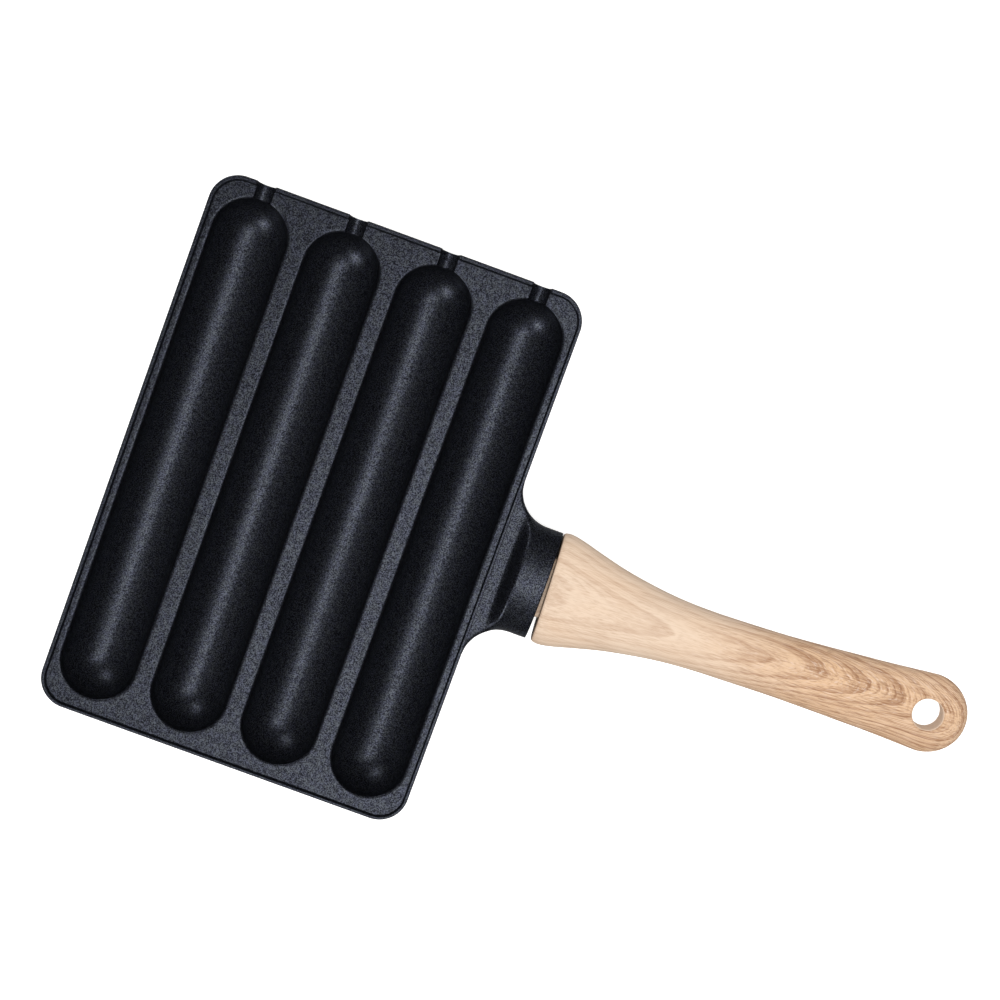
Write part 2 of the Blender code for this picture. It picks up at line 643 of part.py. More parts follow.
def build_spring_washer(axis: bpy.types.Object, material: bpy.types.Material, top: float) -> float:
    """Builds the split washer under a height and returns the height of its lower face."""
    base = top - FIT_GAP - SPRING_WASHER_THICKNESS - SPRING_WASHER_LIFT
    bore = SCREW_RADIUS + FIT_GAP
    rings = []
    angles = arc(SPRING_WASHER_SPLIT_DEGREES / 2, 360.0 - SPRING_WASHER_SPLIT_DEGREES / 2, SMALL_ROUND_STEPS)
    for step, angle in enumerate(angles):
        low = SPRING_WASHER_LIFT * step / SMALL_ROUND_STEPS
        high = low + SPRING_WASHER_THICKNESS
        section = ((bore, low), (SPRING_WASHER_RADIUS, low), (SPRING_WASHER_RADIUS, high), (bore, high))
        rings.append([(radius * math.cos(angle), radius * math.sin(angle), z) for radius, z in section])
    washer = mesh_object("spring_washer", [rings])
    seat_on_axis(washer, axis, base)
    finish(washer, material)
    return base


def build_screw(axis: bpy.types.Object, material: bpy.types.Material, top: float) -> None:
    """Builds the screw whose head sits under a height."""
    head_top = top - FIT_GAP
    insert_base = PARTING_Z - TENON_DROP + FIT_GAP
    tip = insert_base + SCREW_REACH - head_top
    profile = [(0.0, -SCREW_HEAD_HEIGHT), (SCREW_HEAD_RADIUS - SCREW_HEAD_EDGE, -SCREW_HEAD_HEIGHT),
               (SCREW_HEAD_RADIUS, -SCREW_HEAD_HEIGHT + SCREW_HEAD_EDGE), (SCREW_HEAD_RADIUS, 0.0),
               (SCREW_RADIUS, 0.0), (SCREW_RADIUS, tip - SCREW_TIP_CHAMFER),
               (SCREW_RADIUS - SCREW_TIP_CHAMFER, tip), (0.0, tip)]
    screw = mesh_object("handle_screw", [turned_rings(profile, SMALL_ROUND_STEPS)])
    key = [(SOCKET_KEY_RADIUS, -SCREW_HEAD_HEIGHT - OVERRUN),
           (SOCKET_KEY_RADIUS, -SCREW_HEAD_HEIGHT + SOCKET_KEY_DEPTH)]
    carve(screw, mesh_object("key_socket", [turned_rings(key, KEY_SIDES)]), "DIFFERENCE")
    seat_on_axis(screw, axis, head_top)
    finish(screw, material)


def main() -> None:
    """Builds every piece of the pan."""
    clear_scene()
    coating = make_material("black_coating", (0.018, 0.019, 0.024), 0.45, 0.0)
    wood = make_material("pale_wood", (0.62, 0.42, 0.27), 0.55, 0.0)
    steel = make_material("zinc_steel", (0.55, 0.55, 0.56), 0.35, 1.0)
    brass = make_material("brass", (0.70, 0.50, 0.22), 0.35, 1.0)
    build_pan(coating)
    axis = bpy.data.objects.new("handle_axis", None)
    bpy.context.scene.collection.objects.link(axis)
    axis.location = (NECK_END_X, 0.0, PARTING_Z)
    axis.rotation_euler = (0.0, 0.0, SKEW)
    build_handle(axis, wood)
    build_insert(axis, brass)
    washer_base = build_flat_washer(axis, steel)
    spring_base = build_spring_washer(axis, steel, washer_base)
    build_screw(axis, steel, spring_base)


main()
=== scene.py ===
"""Looks of a pan for sausages on sticks: a coated casting with a pale wooden handle.

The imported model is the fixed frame. Every piece is built here in metres, in that same frame: the
origin is the middle of the base, the handle points along +X and the stick notches are at +Y.
"""
from __future__ import annotations

import json
import logging
import math
from dataclasses import dataclass
from enum import Enum
from typing import Callable, Sequence

import bmesh
import bpy
from bpy.types import Material, Mesh, Node, NodeSocket, NodeTree, Object
from mathutils import Matrix, Vector, geometry

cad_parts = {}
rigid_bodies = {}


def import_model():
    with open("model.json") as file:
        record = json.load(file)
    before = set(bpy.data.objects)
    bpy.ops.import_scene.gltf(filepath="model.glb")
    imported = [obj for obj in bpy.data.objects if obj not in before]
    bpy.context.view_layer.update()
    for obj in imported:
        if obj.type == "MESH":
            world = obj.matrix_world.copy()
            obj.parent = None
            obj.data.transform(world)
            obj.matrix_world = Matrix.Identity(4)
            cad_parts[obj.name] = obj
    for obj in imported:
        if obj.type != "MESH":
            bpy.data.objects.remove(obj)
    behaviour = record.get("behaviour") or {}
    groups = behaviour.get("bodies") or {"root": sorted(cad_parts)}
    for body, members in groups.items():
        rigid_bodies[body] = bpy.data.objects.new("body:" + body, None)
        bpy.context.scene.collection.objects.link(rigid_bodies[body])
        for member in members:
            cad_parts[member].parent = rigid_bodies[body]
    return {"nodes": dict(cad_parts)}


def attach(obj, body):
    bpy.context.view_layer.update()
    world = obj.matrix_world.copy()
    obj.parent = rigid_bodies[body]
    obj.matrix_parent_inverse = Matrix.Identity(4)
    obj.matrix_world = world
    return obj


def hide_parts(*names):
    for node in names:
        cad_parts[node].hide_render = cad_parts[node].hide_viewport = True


LOG = logging.getLogger("pan")
ROOT = "root"
SHARP_DEGREES = 38.0
# Points closer than WELD become one, and so do a loft's seam and poles within POLE_WELD.
WELD = 1e-6
POLE_WELD = WELD * 5
# FAR lifts a surface out of the way of the others.
FAR = 1.0
# Sheets are triangulated in millimetres, which suits SHEET_EPSILON. Guide lines that meet have
# their places rounded to SHEET_DIGITS of a metre.
MILLIMETRES = 1000.0
SHEET_EPSILON = 1e-4
SHEET_DIGITS = 7
# A colour Mix node's two colours, by the numbers of their sockets.
MIX_LOW, MIX_HIGH = 6, 7

Point2 = tuple[float, float]
Point3 = tuple[float, float, float]
Row = tuple[float, float, float, float]


# Node trees written as Python


def node_method(operation: str, reflected: bool = False) -> Callable[..., Term]:
    """Makes a Term method that adds one kind of Math node.

    Args:
        operation: the Math node's operation.
        reflected: puts the term after the other value.

    Returns:
        The method.
    """
    def method(term: Term, *others: Value) -> Term:
        """Adds the node and gives its result."""
        return term.maths(operation, *((*others, term) if reflected else (term, *others)))

    return method


class Term:
    """A number socket that can be used in Python expressions."""

    __add__, __radd__ = node_method("ADD"), node_method("ADD", reflected=True)
    __sub__, __rsub__ = node_method("SUBTRACT"), node_method("SUBTRACT", reflected=True)
    __mul__, __rmul__ = node_method("MULTIPLY"), node_method("MULTIPLY", reflected=True)
    __truediv__, __rtruediv__ = node_method("DIVIDE"), node_method("DIVIDE", reflected=True)
    __pow__, __abs__ = node_method("POWER"), node_method("ABSOLUTE")
    __lt__, __gt__ = node_method("LESS_THAN"), node_method("GREATER_THAN")
    least, most = node_method("MINIMUM"), node_method("MAXIMUM")
    cosine, sine, exponent = node_method("COSINE"), node_method("SINE"), node_method("EXPONENT")
    nearest, floor, fraction = node_method("ROUND"), node_method("FLOOR"), node_method("FRACT")

    def __init__(self, board: Board, socket: NodeSocket) -> None:
        """Keeps the board that new nodes go on, and the socket."""
        self.board = board
        self.socket = socket

    def maths(self, operation: str, *values: Value) -> Term:
        """Adds a Math node on values in the node's order."""
        return self.board.term("ShaderNodeMath", {"operation": operation}, dict(enumerate(values)))

    def __neg__(self) -> Term:
        """Turns the sign."""
        return self * -1.0

    def root(self) -> Term:
        """Takes the square root, of zero where the value is below it."""
        return self.maths("SQRT", self.most(0.0))

    def clamp(self, low: Value = 0.0, high: Value = 1.0) -> Term:
        """Keeps the value between two others."""
        return self.most(low).least(high)

    def ease(self, low: Value, high: Value) -> Term:
        """Goes smoothly from 0 at low to 1 at high."""
        share = ((self - low) / (high - low)).clamp()
        return share * share * (3.0 - 2.0 * share)

    def blend(self, low: Term, high: Term) -> Term:
        """Mixes two terms, with this as the share of the second."""
        return low + self * (high - low)

    def swing(self, size: Value) -> Term:
        """Turns a noise round a half into a swing round nothing, of a size in all."""
        return (self - 0.5) * size

    def decay(self, length: float) -> Term:
        """Falls from 1 at nothing towards 0, by a length."""
        return (self / -length).exponent()

    def melt(self, other: Value, width: Value) -> Term:
        """Takes the lower of two, with the crease between them rounded over a width."""
        near = (width - abs(self - other)).most(0.0)
        return self.least(other) - near * near / (4.0 * width)


Value = float | Term | NodeSocket
Colour = Point3 | NodeSocket


class Board:
    """A node tree and the one way in which nodes are put on it."""

    def __init__(self, tree: NodeTree) -> None:
        """Takes the tree to write on."""
        self.tree = tree

    def feed(self, node: Node, sockets: dict) -> None:
        """Feeds a node's inputs.

        Args:
            node: the node.
            sockets: terms or sockets to link, or the inputs' own values, by name or index.
        """
        for key, value in sockets.items():
            source = value.socket if isinstance(value, Term) else value
            if isinstance(source, NodeSocket):
                self.tree.links.new(source, node.inputs[key])
            else:
                node.inputs[key].default_value = source

    def node(self, kind: str, settings: dict | None = None, sockets: dict | None = None) -> Node:
        """Adds a node.

        Args:
            kind: the node's type.
            settings: its properties, which are set first.
            sockets: values, terms or sockets for its inputs, by name or index.

        Returns:
            The node.
        """
        made = self.tree.nodes.new(kind)
        for name, value in (settings or {}).items():
            setattr(made, name, value)
        self.feed(made, sockets or {})
        return made

    def term(self, kind: str, settings: dict | None = None, sockets: dict | None = None,
             output: int | str = 0) -> Term:
        """Adds a node and gives one of its outputs as a term."""
        return Term(self, self.node(kind, settings, sockets).outputs[output])

    def join(self, parts: Sequence[Value]) -> Term:
        """Puts three numbers together as a vector."""
        return self.term("ShaderNodeCombineXYZ", None, dict(enumerate(parts)))

    def split(self, vector: Value) -> list[Term]:
        """Takes a vector apart."""
        parts = self.node("ShaderNodeSeparateXYZ", None, {0: vector})
        return [Term(self, part) for part in parts.outputs]

    def noise(self, spot: Value, scale: float = 1.0, detail: float = 2.0) -> Term:
        """Reads a noise of a scale at a place."""
        return self.term("ShaderNodeTexNoise", None,
                         {"Vector": spot, "Scale": scale, "Detail": detail}, "Fac")

    def mix(self, share: Value, low: Colour, high: Colour) -> NodeSocket:
        """Mixes two colours, each given by its parts or by a socket."""
        ends = [(*colour, 1.0) if isinstance(colour, tuple) else colour for colour in (low, high)]
        return self.node("ShaderNodeMix", {"data_type": "RGBA"},
                         {"Factor": share, MIX_LOW: ends[0], MIX_HIGH: ends[1]}).outputs[2]

    def bump(self, strength: float, depth: float, height: Term) -> NodeSocket:
        """Turns a height into a normal."""
        return self.node("ShaderNodeBump", None,
                         {"Strength": strength, "Distance": depth, "Height": height}).outputs[0]


@dataclass
class GeometryRule:
    """A Geometry Nodes tree with named sizes, which runs once on a mesh and is then baked."""

    name: str
    sizes: dict[str, float]

    def __post_init__(self) -> None:
        """Makes the tree with its inputs and its output."""
        self.tree = bpy.data.node_groups.new(self.name, "GeometryNodeTree")
        self.board = Board(self.tree)
        for way in ("INPUT", "OUTPUT"):
            self.add_input("Geometry", "Geometry", way)
        self.keys = {label: self.add_input(label, "Int" if isinstance(value, int) else "Float")
                     for label, value in self.sizes.items()}
        self.entry = self.board.node("NodeGroupInput")

    def add_input(self, label: str, kind: str, way: str = "INPUT") -> str:
        """Adds a socket to the tree and gives its identifier."""
        return self.tree.interface.new_socket(label, in_out=way, socket_type=f"NodeSocket{kind}").identifier

    def size(self, label: str) -> Term:
        """Gives a named size as a term."""
        return Term(self.board, self.entry.outputs[label])

    def position(self) -> list[Term]:
        """Gives the three coordinates of each point."""
        return self.board.split(self.board.term("GeometryNodeInputPosition"))

    def lofted_grid(self) -> tuple[NodeSocket, Term, Term]:
        """Adds a grid of stations by steps around.

        Returns:
            The grid, and each point's station and angle.
        """
        grid = self.board.node("GeometryNodeMeshGrid", None, {
            "Size X": 1.0, "Size Y": 1.0, "Vertices X": self.size("Stations"),
            "Vertices Y": self.size("Around")})
        u, v, _ = self.position()
        index = ((u + 0.5) * (self.size("Stations") - 1.0)).nearest()
        return grid.outputs[0], index, (v + 0.5) * math.tau

    def sampled(self, name: str, index: Term) -> Term:
        """Reads the incoming table.

        Args:
            name: the column.
            index: the row.

        Returns:
            The number there.
        """
        column = self.board.node("GeometryNodeInputNamedAttribute", {"data_type": "FLOAT"},
                                 {"Name": name})
        return self.board.term("GeometryNodeSampleIndex", {"data_type": "FLOAT", "domain": "POINT"},
                               {"Geometry": self.entry.outputs["Geometry"],
                                "Value": column.outputs[0], "Index": index})

    def place(self, shape: NodeSocket, spot: Sequence[Value]) -> NodeSocket:
        """Moves each point of a shape to a spot."""
        return self.board.node("GeometryNodeSetPosition", None,
                               {"Geometry": shape, "Position": self.board.join(spot)}).outputs[0]

    def press(self, spot: Sequence[Value], material: Material) -> None:
        """Moves each point of the incoming sheet to a spot and ends the tree."""
        self.close(self.place(self.entry.outputs["Geometry"], spot), material)

    def close_loft(self, grid: NodeSocket, spot: Sequence[Value], material: Material) -> None:
        """Moves each point of a loft's grid, merges its seam and poles, and ends the tree."""
        merged = self.board.node("GeometryNodeMergeByDistance", None,
                                 {"Geometry": self.place(grid, spot), "Distance": POLE_WELD})
        self.close(merged.outputs[0], material)

    def close(self, shape: NodeSocket, material: Material) -> None:
        """Ends the tree in Realize Instances and Set Material.

        Args:
            shape: what the tree has made.
            material: its finish.
        """
        real = self.board.node("GeometryNodeRealizeInstances", None, {0: shape})
        dressed = self.board.node("GeometryNodeSetMaterial", None,
                                  {"Geometry": real.outputs[0], "Material": material})
        self.board.node("NodeGroupOutput", None, {0: dressed.outputs[0]})

    def bake(self, source: Object) -> Mesh:
        """Runs the tree on an object.

        Args:
            source: the object whose mesh goes in; it is removed.

        Returns:
            The plain mesh.
        """
        step = source.modifiers.new(self.name, "NODES")
        step.node_group = self.tree
        for label, key in self.keys.items():
            step[key] = self.sizes[label]
        baked = evaluated_mesh(source)
        bpy.data.objects.remove(source, do_unlink=True)
        return baked


# Meshes


def evaluated_mesh(source: Object) -> Mesh:
    """Makes a plain mesh of what an object's modifiers give, and takes them off.

    Args:
        source: the object.

    Returns:
        The mesh.
    """
    bpy.context.view_layer.update()
    seen = source.evaluated_get(bpy.context.evaluated_depsgraph_get())
    plain = bpy.data.meshes.new_from_object(seen)
    source.modifiers.clear()
    return plain


class Cut(Enum):
    """What a boolean does with its tool."""

    JOIN = "UNION"
    REMOVE = "DIFFERENCE"


def place_mesh(name: str, mesh: Mesh) -> Object:
    """Links a mesh into the scene as an object at the origin.

    Args:
        name: the object's name.
        mesh: its mesh.

    Returns:
        The object.
    """
    made = bpy.data.objects.new(name, mesh)
    bpy.context.scene.collection.objects.link(made)
    return made


def mesh_from(name: str, points: Sequence[Point3], faces: Sequence[Sequence[int]]) -> Object:
    """Makes an object from points and faces.

    Args:
        name: the object's name.
        points: where its points are.
        faces: the points of each face, by number.

    Returns:
        The object.
    """
    mesh = bpy.data.meshes.new(name)
    mesh.from_pydata([tuple(point) for point in points], [], [tuple(face) for face in faces])
    return place_mesh(name, mesh)


def table_object(name: str, labels: Sequence[str], rows: Sequence[Sequence[float]]) -> Object:
    """Makes bare points that carry a table's columns as attributes.

    Args:
        name: the object's name.
        labels: the columns' names.
        rows: the table, with one point for each row.

    Returns:
        The object.
    """
    made = mesh_from(name, [(0.0, 0.0, 0.0)] * len(rows), [])
    for label, column in zip(labels, zip(*rows)):
        made.data.attributes.new(label, "FLOAT", "POINT").data.foreach_set("value", list(column))
    return made


def tidy_mesh(mesh: Mesh) -> None:
    """Merges doubles, drops what has no area and turns the faces outwards.

    Args:
        mesh: the mesh, which is changed in place.
    """
    shape = bmesh.new()
    shape.from_mesh(mesh)
    bmesh.ops.remove_doubles(shape, verts=shape.verts, dist=WELD)
    bmesh.ops.dissolve_degenerate(shape, edges=shape.edges, dist=WELD)
    loose = [vert for vert in shape.verts if not vert.link_faces]
    bmesh.ops.delete(shape, geom=loose, context="VERTS")
    bmesh.ops.recalc_face_normals(shape, faces=shape.faces)
    shape.to_mesh(mesh)
    shape.free()


def open_edges(mesh: Mesh) -> int:
    """Counts the edges that don't join exactly two faces.

    Args:
        mesh: the mesh.

    Returns:
        The count.
    """
    shape = bmesh.new()
    shape.from_mesh(mesh)
    count = sum(len(edge.link_faces) != 2 for edge in shape.edges)
    shape.free()
    return count


def ring_faces(rings: int, count: int, closed: bool = False) -> list[list[int]]:
    """Lists the faces between rings of equal counts of points.

    Args:
        rings: how many rings there are.
        count: how many points each of them has.
        closed: joins the last ring to the first too.

    Returns:
        The points of each face, by number.
    """
    faces = []
    for span in range(rings if closed else rings - 1):
        low, high = span * count, (span + 1) % rings * count
        for this in range(count):
            after = (this + 1) % count
            faces.append([low + this, low + after, high + after, high + this])
    return faces


def skin_rings(name: str, rings: Sequence[Sequence[Point3]], closed: bool = False) -> Object:
    """Skins rings of equal counts of points.

    Args:
        name: the object's name.
        rings: the rings, in order along the piece.
        closed: joins the last ring to the first in place of two caps.

    Returns:
        The closed shape as an object.
    """
    count, last = len(rings[0]), len(rings) - 1
    faces = ring_faces(len(rings), count, closed)
    if not closed:
        faces.append(list(range(count - 1, -1, -1)))
        faces.append(list(range(last * count, (last + 1) * count)))
    made = mesh_from(name, [point for ring in rings for point in ring], faces)
    tidy_mesh(made.data)
    return made


def combine(target: Object, tool: Object, how: Cut) -> None:
    """Joins a tool to a shape or cuts it away.

    Args:
        target: the shape.
        tool: the tool, which is removed.
        how: what is done with it.
    """
    step = target.modifiers.new(how.name, "BOOLEAN")
    step.solver = "MANIFOLD"
    step.operation = how.value
    step.object = tool
    target.data = evaluated_mesh(target)
    bpy.data.objects.remove(tool, do_unlink=True)


def quarter_turn(steps: int) -> list[float]:
    """Lists the angles of a quarter turn in equal steps, with both ends."""
    return [math.pi / 2 * step / steps for step in range(steps + 1)]


def quarter_arc(centre: Point2, radius: float, quarter: int, steps: int) -> list[Point2]:
    """Lists a quarter circle's points, with both ends.

    Args:
        centre: its centre.
        radius: its radius.
        quarter: which quarter of the circle it is, counted from +X.
        steps: how many steps it takes.

    Returns:
        The points, anticlockwise.
    """
    angles = [math.pi / 2 * (quarter + step / steps) for step in range(steps + 1)]
    return [(centre[0] + radius * math.cos(angle), centre[1] + radius * math.sin(angle))
            for angle in angles]


def turn_profile(profile: Sequence[Point2], steps: int) -> list[list[Point3]]:
    """Turns a profile about the Z axis.

    Args:
        profile: radius and height at each of its points.
        steps: how many steps a turn takes.

    Returns:
        A ring for each point.
    """
    angles = [math.tau * step / steps for step in range(steps)]
    return [[(radius * math.cos(angle), radius * math.sin(angle), height) for angle in angles]
            for radius, height in profile]


def smooth_share(value: float) -> float:
    """Eases a share from 0 to 1."""
    held = min(max(value, 0.0), 1.0)
    return held * held * (3.0 - 2.0 * held)


def smoother_share(value: float) -> float:
    """Eases a share from 0 to 1 with a slower start and end."""
    held = min(max(value, 0.0), 1.0)
    return held ** 3 * (held * (held * 6.0 - 15.0) + 10.0)


def finish_piece(made: Object, nodes: Sequence[str], material: Material) -> None:
    """Dresses a finished piece and hangs it on the frame.

    Args:
        made: the piece, with its place in its mesh.
        nodes: the CAD nodes that it stands for.
        material: its finish.
    """
    made.data.materials.clear()
    made.data.materials.append(material)
    made.data.polygons.foreach_set("material_index", [0] * len(made.data.polygons))
    made.data.shade_smooth()
    made.data.set_sharp_from_angle(angle=math.radians(SHARP_DEGREES))
    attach(made, ROOT)
    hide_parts(*nodes)
    faces = sum(len(polygon.vertices) - 2 for polygon in made.data.polygons)
    LOG.info("%s: %d triangles, %d open edges", made.name, faces, open_edges(made.data))


# Finishes


@dataclass(frozen=True)
class Finish:
    """A surface finish. Each kind adds its own nodes to the shader."""

    name: str

    def start(self) -> tuple[Material, Board, Node]:
        """Makes the material.

        Returns:
            The material, its board and its shader.
        """
        material = bpy.data.materials.new(self.name)
        material.use_nodes = True
        return material, Board(material.node_tree), material.node_tree.nodes["Principled BSDF"]

    @staticmethod
    def place(board: Board) -> Term:
        """Gives the object coordinates."""
        return board.term("ShaderNodeTexCoord", None, None, "Object")


@dataclass(frozen=True)
class SparkleCoating(Finish):
    """A dark non-stick coating with fine metallic flecks in it."""

    ground: Point3 = (0.0078, 0.0080, 0.0108)
    fleck: Point3 = (0.084, 0.092, 0.124)
    cool_fleck: Point3 = (0.086, 0.095, 0.112)
    fleck_scale: float = 2300.0
    fleck_detail: float = 1.5
    fleck_range: Point2 = (0.34, 0.73)
    grain_scale: float = 520.0
    grain_share: float = 0.10
    tint_range: Point2 = (0.40, 0.60)
    cloud_scale: float = 28.0
    roughness: float = 0.385
    cloud_roughness: float = 0.06
    fleck_roughness: float = 0.12
    relief: Point2 = (0.5, 0.00003)
    grain_relief_share: float = 0.6
    metal: float = 0.9
    shine: float = 0.25

    def build(self) -> Material:
        """Builds the coating.

        Returns:
            The material.
        """
        material, board, shader = self.start()
        spot = self.place(board)
        speck = board.noise(spot, self.fleck_scale, self.fleck_detail)
        patch = board.noise(spot, self.grain_scale)
        cloud = board.noise(spot, self.cloud_scale)
        flecks = (speck + patch.swing(self.grain_share)).ease(*self.fleck_range)
        tint = board.mix(patch.ease(*self.tint_range), self.fleck, self.cool_fleck)
        board.feed(shader, {
            "Base Color": board.mix(flecks, self.ground, tint),
            "Roughness": (self.roughness + cloud.swing(self.cloud_roughness)
                          + speck.swing(self.fleck_roughness)),
            "Normal": board.bump(*self.relief, speck + patch * self.grain_relief_share),
            "Metallic": self.metal, "Specular IOR Level": self.shine})
        return material


@dataclass(frozen=True)
class PaleWood(Finish):
    """A pale oiled hardwood, sawn so that its rings make long arches that point at the tail.

    Places are metres along the handle, across it and up, from its seat in the neck. A range holds
    where a change starts and ends. A depth holds the strength at the front and what the tail adds.
    A grain holds the stretches of a noise and then its detail.
    """

    seat: Point3 = (0.100225, 0.0, 0.0182)
    skew_degrees: float = 2.45
    tail_range: Point2 = (0.052, 0.118)

    pale: Point3 = (0.585, 0.457, 0.347)
    warm: Point3 = (0.548, 0.352, 0.208)
    late: Point3 = (0.270, 0.138, 0.070)
    pore: Point3 = (0.225, 0.117, 0.060)
    light: Point3 = (0.610, 0.482, 0.400)
    # The front's end grain beside the tenon: its own darker tone plus painted shade of the gap at the neck.
    end_grain_and_gap_shade: Point3 = (0.110, 0.066, 0.040)
    # The hanging hole's wall: partly raw wood's paler tone and partly painted bounce light from the floor.
    raw_wood_and_bounce_light: Point3 = (0.760, 0.610, 0.480)

    ring_width: float = 0.0095
    ring_power: float = 2.4
    ring_start: float = 6.30
    rings_down: float = 260.0
    heart_height: float = 0.0088
    heart_rise: Point2 = (0.072, 0.0195)
    front_spread: Point2 = (0.030, 0.75)
    front_shift: Point2 = (0.025, 0.0030)
    middle_shift: float = 0.0004
    drift_range: Point2 = (0.060, 0.112)
    drift: float = 0.0064
    return_range: Point2 = (0.138, 0.172)
    drift_return: float = 0.0058
    sway: float = 0.0034
    tips: Point3 = (0.135, 0.060, 3.4)
    unevenness: float = 0.72

    late_range: Point2 = (0.30, 0.90)
    line_range: Point2 = (0.50, 0.88)
    ring_end: float = 0.92
    late_chance: Point2 = (0.30, 0.70)
    late_strength: float = 0.92
    line_strength: float = 0.70
    lines_in_ring: float = 4.3
    line_waver: float = 0.35
    line_break_range: Point2 = (0.30, 0.62)
    line_start: float = 130.0
    tail_line_range: Point2 = (0.105, 0.150)
    tail_lines: float = 0.6

    base_dark: float = 0.05
    warm_depth: Point2 = (0.10, 0.74)
    cloud_depth: float = 0.60
    layer_depth: Point2 = (0.33, 0.44)
    fibre_depth: Point2 = (0.72, 1.10)
    ring_depth: Point2 = (0.28, 0.64)
    glint_range: Point2 = (0.30, 0.48)
    glint_depth: Point2 = (0.14, 0.38)
    pore_range: Point2 = (0.55, 0.70)
    stroke_range: Point2 = (0.56, 0.70)
    pore_depth: Point2 = (0.16, 0.44)

    bore_place: Point2 = (0.15914, 0.01716)
    bore_lean: float = 0.040
    bore_range: Point2 = (0.0063, 0.0066)
    bore_strength: float = 0.90
    front_range: Point2 = (0.0013, 0.0017)
    tenon_reach: Point2 = (0.01255, 0.0067)
    end_shade_strength: float = 0.9

    roughness: float = 0.50
    dark_roughness: float = 0.12
    pore_roughness: float = 0.10
    relief: Point2 = (0.35, 0.00006)
    fibre_relief_share: float = 0.5
    pore_relief_share: float = 0.8
    shine: float = 0.30

    SWAY_GRAIN = (10.0, 20.0, 2.0)
    UNEVEN_GRAIN = (26.0, 90.0, 3.0)
    BROKEN_GRAIN = (40.0, 260.0, 2.0)
    FIBRE_GRAIN = (62.0, 1900.0, 3.0)
    DASH_GRAIN = (170.0, 1700.0, 2.0)
    CLOUD_GRAIN = (30.0, 110.0, 3.0)
    LAYER_GRAIN = (5.5, 60.0, 340.0, 4.0)
    STROKE_GRAIN = (17.0, 130.0, 1150.0, 3.0)

    @staticmethod
    def streaks(board: Board, place: Sequence[Term], grain: Point3) -> Term:
        """Reads a noise that is drawn out along the handle.

        Args:
            board: the tree to write on.
            place: the place along, across and up.
            grain: the stretch along, the stretch across and the detail.

        Returns:
            The noise.
        """
        x, y, z = place
        along, across, detail = grain
        return board.noise(board.join((x * along, y * across, z * across)), detail=detail)

    @staticmethod
    def ring_streaks(board: Board, place: Sequence[Term], rings: Term, grain: Row) -> Term:
        """Reads a noise that is drawn out along the handle and follows its rings.

        Args:
            board: the tree to write on.
            place: the place along, across and up.
            rings: the ring's number, with its fraction.
            grain: the stretch through the rings, along and across, and the detail.

        Returns:
            The noise.
        """
        x, y, z = place
        through, along, across, detail = grain
        spot = (rings * through, x * along, y * across + z * across)
        return board.noise(board.join(spot), detail=detail)

    @staticmethod
    def depth(share: Term, ends: Point2) -> Term:
        """Gives a strength that starts at its first value and grows by its second with a share."""
        return ends[0] + ends[1] * share

    def band(self, phase: Term, rise: Point2) -> Term:
        """Marks a band that grows through each ring and stops near its end."""
        return phase.ease(*rise) * (1.0 - phase.ease(self.ring_end, 1.0))

    def rings(self, board: Board, place: Sequence[Term]) -> Term:
        """Counts the growth rings, whose arches narrow towards the tail.

        Args:
            board: the tree to write on.
            place: the place along, across and up.

        Returns:
            The ring's number, with its fraction.
        """
        x, y, z = place
        spread_length, spread = self.front_spread
        shift_length, shift = self.front_shift
        rise_length, rise = self.heart_rise
        tip_place, tip_length, tip_rings = self.tips
        drift = x.ease(*self.drift_range) * self.drift - x.ease(*self.return_range) * self.drift_return
        middle = (x.decay(shift_length) * shift - self.middle_shift + drift
                  + self.streaks(board, place, self.SWAY_GRAIN).swing(self.sway))
        aside = abs(y - middle) / (1.0 + x.decay(spread_length) * spread) / self.ring_width
        low = self.heart_height - (z - (1.0 - x.decay(rise_length)) * rise)
        uneven = self.streaks(board, place, self.UNEVEN_GRAIN).swing(self.unevenness)
        return ((tip_place - x).decay(tip_length) * tip_rings + aside ** self.ring_power
                + low * self.rings_down + uneven + self.ring_start)

    def bands(self, board: Board, place: Sequence[Term], rings: Term) -> Term:
        """Draws the dark latewood of each ring and the finer lines inside it.

        Args:
            board: the tree to write on.
            place: the place along, across and up.
            rings: the ring's number, with its fraction.

        Returns:
            How dark they make the wood, up to 1.
        """
        x, y, _ = place
        chance = board.term("ShaderNodeTexWhiteNoise", {"noise_dimensions": "1D"}, {"W": rings.floor()})
        latewood = self.band(rings.fraction(), self.late_range) * self.depth(chance, self.late_chance)
        broken = self.streaks(board, place, self.BROKEN_GRAIN)
        share = (rings * self.lines_in_ring + broken * self.line_waver).fraction()
        outward = (abs(y) * self.line_start + x.ease(*self.tail_line_range) * self.tail_lines).clamp()
        lines = self.band(share, self.line_range) * broken.ease(*self.line_break_range) * outward
        return (latewood * self.late_strength + lines * self.line_strength).least(1.0)

    def cut_faces(self, board: Board, place: Sequence[Term], figured: Colour) -> NodeSocket:
        """Colours the hole's wall lighter, as raw wood and as painted bounce light, and the front's end
        grain darker, as end grain and as painted shade in the gap at the neck.

        Args:
            board: the tree to write on.
            place: the place along, across and up.
            figured: the colour everywhere else.

        Returns:
            The colour.
        """
        x, y, z = place
        # Painted light: the hanging hole's wall is lightened as if lit by the floor's bounce, on top of raw
        # wood's paler tone.
        from_bore = x - self.bore_place[0] + (z - self.bore_place[1]) * self.bore_lean
        bored = 1.0 - (from_bore * from_bore + y * y).root().ease(*self.bore_range)
        # Painted shade: the shoulder's end grain beside the tenon is darkened as if in the gap's shadow, on
        # top of end grain's own darker tone.
        beside = (abs(y) > self.tenon_reach[0]).most(abs(z) > self.tenon_reach[1])
        ends = (1.0 - x.ease(*self.front_range)) * beside
        return board.mix(ends * self.end_shade_strength,
                         board.mix(bored * self.bore_strength, figured, self.raw_wood_and_bounce_light), self.end_grain_and_gap_shade)

